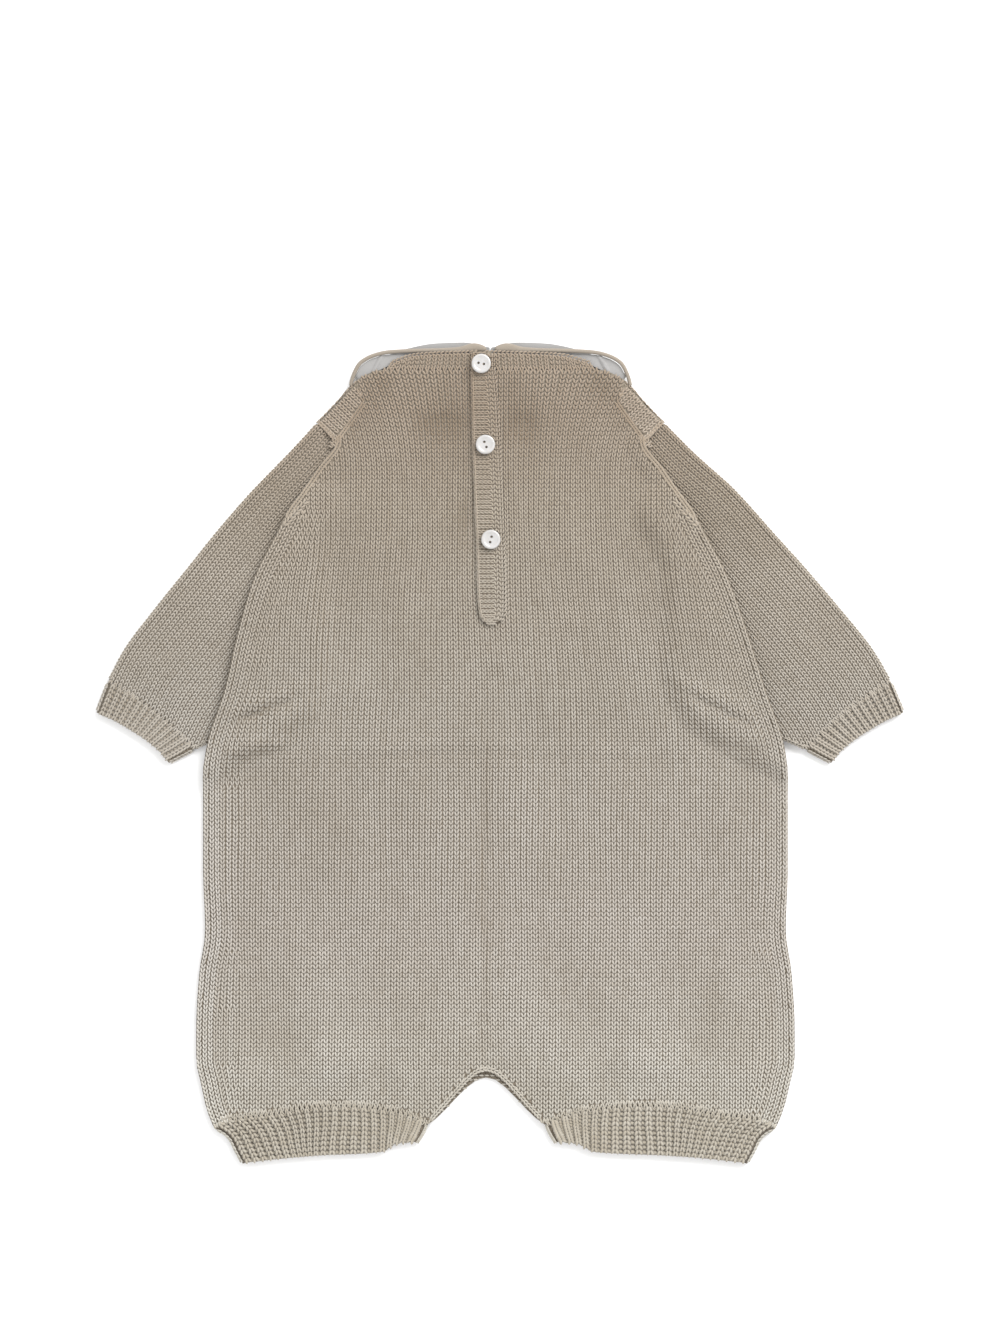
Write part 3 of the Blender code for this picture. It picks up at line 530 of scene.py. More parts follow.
BACK = Panel(BACK_TOP, 0.0, 0.0, 0.25)
FRONT = Panel(FRONT_TOP, 3.4, 7.6, 0.4)


def sleeve_lift(points: Array) -> Array:
    """How far the body is lifted at plan points by the sleeve folds that lie under it.

    Args:
        points: plan points.

    Returns:
        The lifts.
    """
    lift = np.zeros(points.shape[:-1])
    for side in (-1, 1):
        fold = SLEEVE_FOLD.at(np.linspace(0, 1, 25), side)
        reach = side * SLEEVE_REACH
        ring = np.concatenate([fold, [[reach, fold[-1, 1]], [reach, fold[0, 1]]]])
        away = np.where(inside(points, ring), 0.0, distance_to(points, fold))
        lift = np.maximum(lift, OVER_SLEEVE * (1 - smooth((away - LIFT_MARGIN) / LIFT_RAMP)))
    return lift


def armhole_lift(points: Array) -> Array:
    """How far the back's armhole edge is lifted over the sleeve seam.

    Args:
        points: plan points.

    Returns:
        The lifts.
    """
    lift = np.zeros(points.shape[:-1])
    for side in (-1, 1):
        y = np.linspace(UNDERARM_Y, ARMHOLE_TOP_Y - 1.5, 9)
        line = np.stack([MIDDLE + side * read(SIDE["y"], SIDE["half"], y), y], axis=-1)
        away = distance_to(points, line)
        lift = np.maximum(lift, OVER_ARMHOLE * (1 - smooth((away - ARMHOLE_MARGIN) / ARMHOLE_RAMP)))
    return lift


def back_height(u: Array, v: Array, points: Array) -> Array:
    """Height of the middle of the back panel's cloth, with its creases.

    Args:
        u: shares across.
        v: shares up.
        points: their plan points.

    Returns:
        The heights.
    """
    lifts = (sleeve_lift(points) ** 4 + armhole_lift(points) ** 4) ** 0.25
    near = smooth(np.minimum(u, 1 - u) / FORM_FADE) * smooth(np.minimum(v, 1 - v) / FORM_FADE)
    air = (1 - np.abs(2 * u - 1) ** 6) * smooth(v / LEG_FADE) * (0.5 + smooth((1 - v) / NECK_FADE))
    creases = sum(crease.at(points) for crease in FORMS)
    return UPPER + lifts + air + creases * near


# ---- meshes


def keep_values(mesh: bpy.types.Mesh, key: str, values: Array) -> None:
    """Keeps values or vectors at a mesh's points.

    Args:
        mesh: the mesh.
        key: name of the attribute.
        values: one value or vector for each point.
    """
    vector = values.ndim == 2
    layer = mesh.attributes.new(key, "FLOAT_VECTOR" if vector else "FLOAT", "POINT")
    flat = np.ascontiguousarray(values, np.float32).ravel()
    layer.data.foreach_set("vector" if vector else "value", flat)


def new_object(name: str, mesh: bpy.types.Mesh) -> bpy.types.Object:
    """Puts a mesh into the scene at the origin.

    Args:
        name: name of the object.
        mesh: its mesh.

    Returns:
        The object.
    """
    made = bpy.data.objects.new(name, mesh)
    bpy.context.scene.collection.objects.link(made)
    return made


def finished(name: str, source: bpy.types.Object, *helpers: bpy.types.Object) -> bpy.types.Object:
    """Keeps what an object's modifiers make as a plain piece.

    Args:
        name: name of the piece.
        source: the object with its modifiers, which goes.
        *helpers: objects that the modifiers need, which go too.

    Returns:
        The piece, without any modifier.
    """
    done = source.evaluated_get(bpy.context.evaluated_depsgraph_get())
    mesh = bpy.data.meshes.new_from_object(done)
    for old in (source, *helpers):
        data = old.data
        bpy.data.objects.remove(old)
        bpy.data.meshes.remove(data)
    mesh.name = name
    return new_object(name, mesh)


def add_mesh(
    name: str,
    points: Array,
    faces: Sequence[Sequence[int]],
    material: bpy.types.Material,
    weave: Array | None = None,
    sharp: float = 60.0,
) -> bpy.types.Object:
    """Adds a closed mesh with its faces outwards.

    Args:
        name: name of the piece.
        points: its points in millimetres.
        faces: point numbers of each face.
        material: its finish.
        weave: wale and course of each point, where the finish follows them.
        sharp: angle in degrees past which an edge is shaded sharp.

    Returns:
        The object, at the origin.
    """
    mesh = bpy.data.meshes.new(name)
    mesh.from_pydata((np.asarray(points) * MM).tolist(), [], [list(map(int, f)) for f in faces])
    if weave is not None:
        keep_values(mesh, "weave", weave)
    shape = bmesh.new()
    shape.from_mesh(mesh)
    loose = [vert for vert in shape.verts if not vert.link_faces]
    bmesh.ops.delete(shape, geom=loose, context="VERTS")
    if shape.calc_volume(signed=True) < 0:
        bmesh.ops.reverse_faces(shape, faces=shape.faces)
    shape.to_mesh(mesh)
    shape.free()
    mesh.shade_smooth()
    mesh.set_sharp_from_angle(angle=math.radians(sharp))
    mesh.materials.append(material)
    return new_object(name, mesh)


@dataclass
class Cloth:
    """A cloth wall as a grid of points through its middle, with rows along the wales.

    weave holds the wale and course of each point in millimetres, relief raises the outer face,
    upright is the share by which the cloth stands up at each edge, gaps lists open cells, and
    rounding is the share of the thickness by which the rims are rounded.
    """

    mid: Array
    weave: Array
    relief: Array | None = None
    wrap: bool = False
    upright: tuple[tuple[Array, Array], tuple[Array, Array]] | None = None
    gaps: set[tuple[int, int]] = field(default_factory=set)
    rounding: float = 0.16

    def normals(self) -> Array:
        """Unit vectors out of the cloth's outer face.

        Returns:
            The vectors.
        """
        mid = self.mid
        along = np.gradient(mid, axis=0)
        if self.wrap:
            across = np.roll(mid, -1, 1) - np.roll(mid, 1, 1)
        else:
            across = np.gradient(mid, axis=1)
        if self.upright is not None:
            for axis, tangent in ((0, along), (1, across)):
                for end, near in ((0, 1), (-1, -2)):
                    pick = (end, slice(None)) if axis == 0 else (slice(None), end)
                    inner = (near, slice(None)) if axis == 0 else (slice(None), near)
                    share = self.upright[axis][0 if end == 0 else 1][:, None]
                    step = (mid[inner] - mid[pick]) * (1 if end == 0 else -1)
                    stood = np.zeros_like(step)
                    stood[:, 2] = np.sign(step[:, 2]) * np.linalg.norm(step, axis=1)
                    tangent[pick] = (1 - share) * step + share * stood
        normal = unit(np.cross(across, along))
        if self.wrap and ((mid - mid.mean(axis=1, keepdims=True)) * normal).sum() < 0:
            normal = -normal
        return normal

    def face(self, height: float) -> Array:
        """Points of a face at a height over the middle."""
        rise = 0.0 if self.relief is None else self.relief[..., None]
        return self.mid + self.normals() * (height + rise)

    def add(
        self, name: str, material: bpy.types.Material, out: float = GROUND, back: float = -KNIT / 2
    ) -> Made:
        """Adds the wall with rounded rims.

        Args:
            name: name of the piece.
            material: its finish.
            out: height of the outer face over the middle.
            back: height of the inner face, below zero.

        Returns:
            The piece by its name.
        """
        rows, columns = self.mid.shape[:2]
        outer, inner = self.face(out), self.mid + self.normals() * back
        rims = self.mid.copy()
        soft = self.rounding * (out - back)
        for end, near in ((0, 1), (-1, -2)):
            step = unit(self.mid[near] - self.mid[end]) * soft
            outer[end] += step
            inner[end] += step
            if not self.wrap:
                step = unit(self.mid[:, near] - self.mid[:, end]) * soft
                outer[:, end] += step
                inner[:, end] += step
        size = rows * columns
        points = np.concatenate([outer.reshape(-1, 3), inner.reshape(-1, 3), rims.reshape(-1, 3)])
        weave = np.tile(np.pad(self.weave.reshape(-1, 2), ((0, 0), (0, 1))), (3, 1))
        faces: list[tuple[int, ...]] = []
        edges: dict[tuple[int, int], bool] = {}
        for r in range(rows - 1):
            for c in range(columns if self.wrap else columns - 1):
                if (r, c) in self.gaps:
                    continue
                low, n = r * columns, (c + 1) % columns
                ring = (low + c, low + n, low + columns + n, low + columns + c)
                faces.append(ring)
                faces.append(tuple(i + size for i in reversed(ring)))
                for a, b in zip(ring, ring[1:] + ring[:1]):
                    if edges.pop((b, a), None) is None:
                        edges[(a, b)] = True
        for a, b in edges:
            faces.append((b, a, a + 2 * size, b + 2 * size))
            faces.append((b + 2 * size, a + 2 * size, a + size, b + size))
        return {name: add_mesh(name, points, faces, material, weave)}


class Ground:
    """Looks up the height and the way out of a face over plan points."""

    def __init__(self, points: Array, normals: Array) -> None:
        """Keeps a face's points and normals.

        Args:
            points: grid or list of points.
            normals: the way out at each.
        """
        self.points, self.normals = points.reshape(-1, 3), normals.reshape(-1, 3)
        self.tree = KDTree(len(self.points))
        for i, (x, y, _) in enumerate(self.points):
            self.tree.insert((x, y, 0), i)
        self.tree.balance()

    def at(self, plan: Array) -> tuple[Array, Array]:
        """Points of the face over plan points, and the way out there.

        Args:
            plan: plan points, one a row.

        Returns:
            The points and the unit vectors out of the face.
        """
        near = np.array([self.tree.find((x, y, 0))[1] for x, y in plan])
        spot, out = self.points[near], self.normals[near]
        fall = ((plan - spot[:, :2]) * out[:, :2]).sum(axis=1) / np.maximum(out[:, 2], 0.2)
        return np.column_stack([plan, spot[:, 2] - np.clip(fall, -1.5, 1.5)]), out


# ---- node trees


def add_node(
    tree: bpy.types.NodeTree,
    kind: str,
    feeds: dict[str | int, object] | None = None,
    out: str | int = 0,
    **settings: object,
) -> Socket:
    """Adds a node with its settings and what feeds it.

    Args:
        tree: tree that the node goes into.
        kind: type of the node.
        feeds: for each input, the socket or list of sockets linked to it, or the value it gets.
        out: the output that is asked for.
        **settings: properties of the node.

    Returns:
        The socket of that output.
    """
    node = tree.nodes.new(kind)
    for key, value in settings.items():
        setattr(node, key, value)
    for key, value in (feeds or {}).items():
        sockets = [value] if isinstance(value, Socket) else value
        if isinstance(sockets, list):
            for socket in sockets:
                tree.links.new(socket, node.inputs[key])
        else:
            node.inputs[key].default_value = value
    return node.outputs[out]


def hex_colour(text: str) -> Colour:
    """Linear colour of an sRGB hex value such as "#C9BFB0".

    Args:
        text: the value.

    Returns:
        Red, green, blue and alpha.
    """
    parts = [int(text[i:i + 2], 16) / 255 for i in (1, 3, 5)]
    linear = [p / 12.92 if p <= 0.04045 else ((p + 0.055) / 1.055) ** 2.4 for p in parts]
    return (*linear, 1.0)


@dataclass(frozen=True)
class StitchShape:
    """Yarn of one stitch in millimetres, with how its legs stand and turn in degrees."""

    kind: Stitch = Stitch.PLAIN
    length: float = 3.25
    width: float = 1.22
    height: float = 1.0
    spread: float = 0.67
    lean: float = 18.0
    wobble: float = 3.0

    def sizes(self) -> dict[str, float]:
        """The stitch tree's inputs, in metres and radians.

        Returns:
            The values by input.
        """
        lengths = {"Leg Length": self.length, "Leg Width": self.width,
                   "Leg Height": self.height, "Spread": self.spread}
        angles = {"Lean": self.lean, "Wobble": self.wobble}
        return ({name: value * MM for name, value in lengths.items()}
                | {name: math.radians(value) for name, value in angles.items()})


def stitch_tree(kind: Stitch) -> bpy.types.NodeTree:
    """Geometry Nodes tree that works one stitch on each point.

    Args:
        kind: face of the loop that shows.

    Returns:
        The tree, with named inputs for its sizes.
    """
    tree = bpy.data.node_groups.new(f"{kind.value}_stitches", "GeometryNodeTree")
    inputs = ({"Points": "Geometry"} | dict.fromkeys(StitchShape().sizes(), "Float")
              | {"Seed": "Int", "Yarn": "Material"})
    for name, data in inputs.items():
        tree.interface.new_socket(name, in_out="INPUT", socket_type=f"NodeSocket{data}")
    tree.interface.new_socket("Stitches", in_out="OUTPUT", socket_type="NodeSocketGeometry")
    given = tree.nodes.new("NodeGroupInput").outputs
    node = partial(add_node, tree)

    # A leg of yarn is a long ball of 24 faces, which the length turns to lie along the wale.
    halves = [node(MATH, {0: given[f"Leg {name}"], 1: 0.5}, operation="MULTIPLY")
              for name in ("Width", "Height", "Length")]
    strand = node("GeometryNodeTransform", {
        "Geometry": node("GeometryNodeMeshUVSphere", {"Segments": 4, "Rings": 3, "Radius": 1.0}),
        "Rotation": (math.radians(90), 0, 0),
        "Scale": node(VECTOR, dict(enumerate(halves))),
    })
    parts = []
    if kind is Stitch.PLAIN:
        for sign in (-1, 1):
            turn = node(MATH, {0: given["Lean"], 1: -sign}, operation="MULTIPLY")
            move = node(MATH, {0: given["Spread"], 1: sign}, operation="MULTIPLY")
            parts.append(node("GeometryNodeTransform", {
                "Geometry": strand,
                "Translation": node(VECTOR, {0: move}),
                "Rotation": node(VECTOR, {2: turn}),
            }))
    else:
        across = (0, 0, math.radians(90))
        parts.append(node("GeometryNodeTransform", {"Geometry": strand, "Rotation": across}))
    legs = node("GeometryNodeJoinGeometry", {0: parts})

    # The hollow is the low outer flank of a leg, where the next stitch shades it.
    local = node("ShaderNodeSeparateXYZ", {0: node("GeometryNodeInputPosition")}).node.outputs
    away = node(MATH, {0: local[0]}, operation="ABSOLUTE")
    reach = node(MATH, {0: away, 1: given["Spread"]}, operation="DIVIDE")
    flank = node(RANGE, {0: reach, 1: 1.1, 2: 1.8})
    low = node(RANGE, {0: local[1], 1: 0.7 * MM, 2: -0.3 * MM})
    depth = node(MATH, {0: flank, 1: low}, operation="MULTIPLY")
    marked = node("GeometryNodeStoreNamedAttribute",
                  {"Geometry": legs, "Name": "hollow", "Value": depth},
                  data_type="FLOAT", domain="POINT")

    # Each stitch stands on its point, slightly turned by chance.
    rise, run, size = (
        node("GeometryNodeInputNamedAttribute", {"Name": key}, "Attribute", data_type="FLOAT_VECTOR")
        for key in ("rise", "run", "size"))
    stand = node("FunctionNodeAxesToRotation", {0: rise, 1: run}, primary_axis="Z",
                 secondary_axis="Y")
    less = node(MATH, {0: given["Wobble"], 1: -1.0}, operation="MULTIPLY")
    least, most = (node(VECTOR, dict.fromkeys(range(3), end)) for end in (less, given["Wobble"]))
    chance = node("FunctionNodeRandomValue", {"Min": least, "Max": most, "Seed": given["Seed"]},
                  "Value", data_type="FLOAT_VECTOR")
    shake = node("FunctionNodeEulerToRotation", {0: chance})
    turned = node("FunctionNodeRotateRotation", {0: stand, 1: shake}, rotation_space="LOCAL")
    placed = node("GeometryNodeInstanceOnPoints", {
        "Points": given["Points"], "Instance": marked, "Rotation": turned, "Scale": size})
    real = node("GeometryNodeRealizeInstances", {0: placed})
    soft = node("GeometryNodeSetShadeSmooth", {0: real})
    coloured = node("GeometryNodeSetMaterial", {"Geometry": soft, "Material": given["Yarn"]})
    tree.links.new(coloured, tree.nodes.new("NodeGroupOutput").inputs[0])
    return tree


@dataclass
class Stitches:
    """Stitches of one piece: where each sits, its way out, its way along the wale, size and tone."""

    spots: Array
    rise: Array
    run: Array
    size: Array
    tone: Array

    @classmethod
    def on(cls, spots: Array, rise: Array, run: Array, seed: int, size: float = 1.0) -> "Stitches":
        """Stitches with slightly uneven sizes and tones.

        Args:
            spots: where they sit.
            rise: the way out of the cloth at each.
            run: the way along the wale at each, or one for all.
            seed: seed of the unevenness.
            size: mean size, 1 for the yarn's own.

        Returns:
            The stitches.
        """
        chance = np.random.default_rng(seed)
        sizes = size * (1 + 0.035 * chance.standard_normal((len(spots), 3)))
        tones = 0.5 + 0.06 * np.clip(chance.standard_normal(len(spots)), -2, 2)
        rise, run = (np.broadcast_to(np.asarray(way, float), spots.shape) for way in (rise, run))
        return cls(spots, rise, run, np.clip(sizes, 0.85 * size, 1.15 * size), tones)

    @classmethod
    def column(cls, line: Array, rise: Array, step: float, lift: float, seed: int) -> "Stitches":
        """Stitches that follow head to tail along the whole of a line.

        Args:
            line: points along it.
            rise: the way out at each.
            step: length of a stitch.
            lift: height of the yarn's middle over the line.
            seed: seed of the unevenness.

        Returns:
            The stitches.
        """
        ends = even_line(np.column_stack([line, rise * CARRY]), step)
        middle = (ends[1:] + ends[:-1]) / 2
        out = unit(middle[:, 3:])
        return cls.on(middle[:, :3] + out * lift, out, unit(np.diff(ends[:, :3], axis=0)), seed)

    def picked(self, keep: Array) -> "Stitches":
        """The stitches that a mask keeps."""
        return Stitches(*(values[keep] for values in vars(self).values()))

    @staticmethod
    def joined(parts: Sequence["Stitches"]) -> "Stitches":
        """All the stitches of several groups."""
        return Stitches(*map(np.concatenate, zip(*(vars(part).values() for part in parts))))

    def work(self, name: str, shape: StitchShape, house: "Wardrobe", seed: int = 1) -> Made:
        """Works the stitches as one plain mesh.

        Args:
            name: name of the piece.
            shape: yarn of one stitch.
            house: the finishes and stitch trees.
            seed: seed of the small turns.

        Returns:
            The piece by its name, without any modifier.
        """
        mesh = bpy.data.meshes.new(name)
        mesh.from_pydata((self.spots * MM).tolist(), [], [])
        for key in ("rise", "run", "size", "tone"):
            keep_values(mesh, key, getattr(self, key))
        bed = new_object(name + "_points", mesh)
        worker = bed.modifiers.new("stitches", "NODES")
        worker.node_group = house.trees[shape.kind]
        values = shape.sizes() | {"Seed": seed, "Yarn": house.yarn}
        for item in worker.node_group.interface.items_tree:
            if item.in_out == "INPUT" and item.name in values:
                worker[item.identifier] = values[item.name]
        made = finished(name, bed)
        for key in {"rise", "run", "size"} & set(made.data.attributes.keys()):
            made.data.attributes.remove(made.data.attributes[key])
        return {name: made}


# ---- finishes


@dataclass(frozen=True)
class Finish:
    """A finish of one Principled shader, whose pattern mixes two shades and may be felt.

    shader holds the shader's values by socket, and relief is the pattern's depth in millimetres.
    """

    name: str
    dark: str
    light: str
    shader: tuple[tuple[str, object], ...] = ()
    relief: float = 0.0
    strength: float = 0.4

    def pattern(self, node: Adder, where: Socket) -> Socket:
        """The pattern, from 0 to 1, over the piece's own coordinates: each finish has its own."""
        raise NotImplementedError

    def colour(
        self, node: Adder, where: Socket, pattern: Socket
    ) -> Socket:
        """The colour: dark where the pattern is 0 and light where it is 1."""
        shades = {0: pattern, 6: hex_colour(self.dark), 7: hex_colour(self.light)}
        return node(MIX, shades, 2, data_type="RGBA")

    def make(self) -> bpy.types.Material:
        """Makes the material.

        Returns:
            The material, with its pattern as colour and, where it has a depth, as relief.
        """
        material = bpy.data.materials.new(self.name)
        material.use_nodes = True
        tree = material.node_tree
        node = partial(add_node, tree)
        inputs = tree.nodes["Principled BSDF"].inputs
        for key, value in self.shader:
            inputs[key].default_value = value
        where = node("ShaderNodeTexCoord", out="Object")
        pattern = self.pattern(node, where)
        tree.links.new(self.colour(node, where, pattern), inputs["Base Color"])
        if self.relief:
            bend = node("ShaderNodeBump", {
                "Strength": self.strength, "Distance": self.relief * MM, "Height": pattern})
            tree.links.new(bend, inputs["Normal"])
        return material


@dataclass(frozen=True)
class CottonYarn(Finish):
    """Matte spun cotton yarn, piece dyed: soft, with fine fibres and no gloss.

    bands give the yarn's colour by the distance up the garment in metres, darker and browner
    towards the neck. A stitch's tone runs from dark and browner to light: part of it differs at
    random, and the rest is painted shade in creases, hollows and rib furrows and painted light on
    ridges and on sides that the lamps light less. shaded is the painted shade in the hollow of a
    leg. These three multiply.
    """

    name: str = "cotton_yarn"
    dark: tuple[float, ...] = (0.74, 0.69, 0.62, 1.0)
    light: tuple[float, ...] = (1.14, 1.15, 1.17, 1.0)
    shader: tuple[tuple[str, object], ...] = (
        ("Roughness", 0.92), ("Sheen Weight", 0.25), ("Sheen Roughness", 0.5),
        ("Specular IOR Level", 0.25))
    relief: float = 0.12
    strength: float = 0.5
    bands: tuple[tuple[float, str], ...] = (
        (-0.20, "#BAB6AC"), (-0.10, "#B3ADA5"), (0.03, "#ABA59B"), (0.14, "#A49A8C"),
        (0.19, "#978979"))
    shaded: tuple[float, ...] = (0.56, 0.5432, 0.5208, 1.0)
    fibre: float = 0.25

    def pattern(self, node: Adder, where: Socket) -> Socket:
        """Fibres of the yarn, drawn a little coarse so that they show."""
        scale = 1 / (self.fibre * MM)
        return node(NOISE, {"Vector": where, "Scale": scale, "Detail": 2.0}, "Fac")

    def colour(
        self, node: Adder, where: Socket, pattern: Socket
    ) -> Socket:
        """The colour along the garment times each stitch's tone, which holds painted light and shade,
        with the painted shade in its hollow and its fibres.

        Args:
            node: adds a node to the material.
            where: the piece's own coordinates.
            pattern: the fibres.

        Returns:
            The socket of the colour.
        """
        up = node("ShaderNodeSeparateXYZ", {0: where}, 1)
        low, high = self.bands[0][0], self.bands[-1][0]
        ramp = node("ShaderNodeValToRGB", {0: node(RANGE, {0: up, 1: low, 2: high})})
        stops = ramp.node.color_ramp.elements
        while len(stops) < len(self.bands):
            stops.new(0.5)
        for stop, (y, shade) in zip(stops, self.bands):
            stop.position, stop.color = (y - low) / (high - low), hex_colour(shade)
        tone, hollow = (node(VALUE, out="Fac", attribute_name=key) for key in ("tone", "hollow"))
        cloud = node(NOISE, {"Vector": where, "Scale": 14.0, "Detail": 2.0, "Roughness": 0.6}, "Fac")
        both = node(MATH, {0: cloud, 1: 0.5, 2: tone}, operation="MULTIPLY_ADD")
        tone_with_painted_light = node(MIX, {0: node(RANGE, {0: both, 1: 0.25, 2: 1.25}), 6: self.dark, 7: self.light},
                    2, data_type="RGBA")
        fibres = node(RANGE, {0: pattern, 3: 0.4, 4: 1.2})
        times = {"data_type": "RGBA", "blend_type": "MULTIPLY"}
        coloured = node(MIX, {0: 1.0, 6: ramp, 7: tone_with_painted_light}, 2, **times)
        # Painted shade: where the hollow attribute is 1, the colour is dimmed to the shaded colour.
        dim = node(MIX, {0: 1.0, 6: coloured, 7: self.shaded}, 2, **times)
        mixed = node(MIX, {0: hollow, 6: coloured, 7: dim}, 2, data_type="RGBA")
        return node(MIX, {0: 0.18, 6: mixed, 7: fibres}, 2, **times)


@dataclass(frozen=True)
class KnitGround(Finish):
    """Jersey seen between and behind its stitches: the yarn, darkened as painted shade in the gaps."""

    name: str = "knit_ground"
    dark: str = "#645B4F"
    light: str = "#8A8072"
    shader: tuple[tuple[str, object], ...] = (
        ("Roughness", 0.95), ("Sheen Weight", 0.2), ("Specular IOR Level", 0.2))
    relief: float = 0.5
    strength: float = 0.8
    wale: float = 3.1
    course: float = 2.4

    def pattern(self, node: Adder, where: Socket) -> Socket:
        """Rows of loops along the cloth's own grain, each wale split by a rib.

        Args:
            node: adds a node to the material.
            where: the piece's own coordinates, not used: the weave stands in for them.

        Returns:
            The socket of the loops' height.
        """
        grain = node(VALUE, out="Vector", attribute_name="weave")
        parts = node("ShaderNodeSeparateXYZ", {0: grain}).node.outputs
        values: dict[object, object] = {"across": parts[0], "along": parts[1]}
        # The loops' height also sets the colour: their low parts are darker, as painted shade.
        sums = (
            ("wales", "DIVIDE", "across", self.wale),
            ("part", "FRACT", "wales", 0.0),
            ("offset", "SUBTRACT", "part", 0.5),
            ("fold", "ABSOLUTE", "offset", 0.0),
            ("courses", "DIVIDE", "along", self.course),
            ("slanted", "SUBTRACT", "courses", "fold"),
            ("turn", "MULTIPLY", "slanted", 2 * math.pi),
            ("loops", "COSINE", "turn", 0.0),
            ("halves", "MULTIPLY", "fold", 4 * math.pi),
            ("ribs", "COSINE", "halves", 0.0),
            ("high", "MULTIPLY", "loops", 0.3),
            ("low", "MULTIPLY", "ribs", 0.2),
            ("both", "SUBTRACT", "high", "low"),
            ("height", "ADD", "both", 0.5),
        )
        for name, operation, first, second in sums:
            feeds = {0: values.get(first, first), 1: values.get(second, second)}
            values[name] = node(MATH, feeds, operation=operation)
        return values["height"]


@dataclass(frozen=True)
class WovenCotton(Finish):
    """Bleached plain-woven cotton, pressed: white, matte, with a fine even weave."""

    name: str = "white_cotton_cloth"
    dark: str = "#8D8C8A"
    light: str = "#9C9A99"
    shader: tuple[tuple[str, object], ...] = (
        ("Roughness", 0.8), ("Sheen Weight", 0.1), ("Specular IOR Level", 0.3))
    relief: float = 0.12
    thread: float = 0.45

    def pattern(self, node: Adder, where: Socket) -> Socket:
        """Threads that cross, drawn a little coarse so that they show.

        Args:
            node: adds a node.
            where: the coordinates.

        Returns:
            The pattern, from 0 to 1.
        """
        feeds = {"Vector": where, "Scale": 1 / (self.thread * MM), "Distortion": 0.4}
        warp, weft = (node(WAVE, feeds, "Fac", bands_direction=axis) for axis in ("X", "Y"))
        both = node(MATH, {0: warp, 1: weft}, operation="ADD")
        return node(MATH, {0: both, 1: 0.5}, operation="MULTIPLY")


@dataclass(frozen=True)
class BiasBinding(Finish):
    """Cotton bias binding, folded and sewn down: taupe, matte, with a slanting weave."""

    name: str = "taupe_binding"
    dark: str = "#82796D"
    light: str = "#90867A"
    shader: tuple[tuple[str, object], ...] = (("Roughness", 0.82), ("Sheen Weight", 0.15))
    relief: float = 0.08
    thread: float = 0.4

    def pattern(self, node: Adder, where: Socket) -> Socket:
        """Slanting threads, drawn a little coarse so that they show.

        Args:
            node: adds a node.
            where: the coordinates.

        Returns:
            The pattern, from 0 to 1.
        """
        slant = {"Vector": where, "Rotation": (0, 0, math.radians(45))}
        feeds = {"Vector": node("ShaderNodeMapping", slant), "Scale": 1 / (self.thread * MM)}
        return node(WAVE, feeds | {"Distortion": 0.6}, "Fac", bands_direction="X")


@dataclass(frozen=True)
class PearlShell(Finish):
    """Mother-of-pearl, turned and polished: white with faint cloudy bands and a clear shine."""

    name: str = "pearl_shell"
    dark: str = "#A6A4A2"
    light: str = "#BBB9B7"
    shader: tuple[tuple[str, object], ...] = (
        ("Roughness", 0.22), ("Coat Weight", 0.5), ("Coat Roughness", 0.1),
        ("Subsurface Weight", 0.15), ("Subsurface Radius", (0.001, 0.0008, 0.0006)))

    def pattern(self, node: Adder, where: Socket) -> Socket:
        """Bands of growth, about 5 mm apart."""
        feeds = {"Vector": where, "Scale": 220.0, "Detail": 3.0, "Distortion": 1.2}
        return node(NOISE, feeds, "Fac")


@dataclass(frozen=True)
class SewingThread(Finish):
    """Twisted sewing cotton in the knit's shade: dull, with a fine twist."""

    name: str = "sewing_thread"
    dark: str = "#6B6054"
    light: str = "#7A6F62"
    shader: tuple[tuple[str, object], ...] = (("Roughness", 0.8),)

    def pattern(self, node: Adder, where: Socket) -> Socket:
        """The twist, a third of a millimetre long."""
        return node(NOISE, {"Vector": where, "Scale": 3000.0}, "Fac")


@dataclass(frozen=True)
class PaleFloor:
    """Smooth painted board: an even near-white with no shine."""

    name: str = "pale_floor"
    colour: str = "#F7F7F7"
    roughness: float = 0.9
    gloss: float = 0.1

    def make(self) -> bpy.types.Material:
        """Makes the material.

        Returns:
            The material, of one plain colour.
        """
        material = bpy.data.materials.new(self.name)
        material.use_nodes = True
        inputs = material.node_tree.nodes["Principled BSDF"].inputs
        inputs["Base Color"].default_value = hex_colour(self.colour)
        inputs["Roughness"].default_value = self.roughness
        inputs["Specular IOR Level"].default_value = self.gloss
        return material


@dataclass
class Wardrobe:
    """All the finishes and stitch trees of the garment."""

    yarn: bpy.types.Material = field(default_factory=CottonYarn().make)
    ground: bpy.types.Material = field(default_factory=KnitGround().make)
    cotton: bpy.types.Material = field(default_factory=WovenCotton().make)
    binding: bpy.types.Material = field(default_factory=BiasBinding().make)
    shell: bpy.types.Material = field(default_factory=PearlShell().make)
    thread: bpy.types.Material = field(default_factory=SewingThread().make)
    floor: bpy.types.Material = field(default_factory=PaleFloor().make)
    trees: dict[Stitch, bpy.types.NodeTree] = field(
        default_factory=lambda: {kind: stitch_tree(kind) for kind in Stitch})


# ---- sub-assemblies


def spaced(keys: Sequence[float], step: float) -> Array:
    """Even lines between keys, at most a step apart, with a line on every key.

    Args:
        keys: rising values.
        step: widest distance of two lines.

    Returns:
        The lines' values.
    """
    parts = [np.linspace(a, b, max(1, math.ceil((b - a) / step)) + 1)[:-1]
             for a, b in zip(keys[:-1], keys[1:])]
    return np.append(np.concatenate(parts), keys[-1])


def one_face(piece: bpy.types.Object) -> float:
    """Area of one face of a closed cloth wall in square metres."""
    return sum(face.area for face in piece.data.polygons) / 2


def even_pairs(line: Array, rise: Array, step: float) -> tuple[Array, Array]:
    """Points spaced evenly along a line on a face, with the way out at each."""
    both = even_line(np.column_stack([line, rise * CARRY]), step)
    return both[:, :3], unit(both[:, 3:])


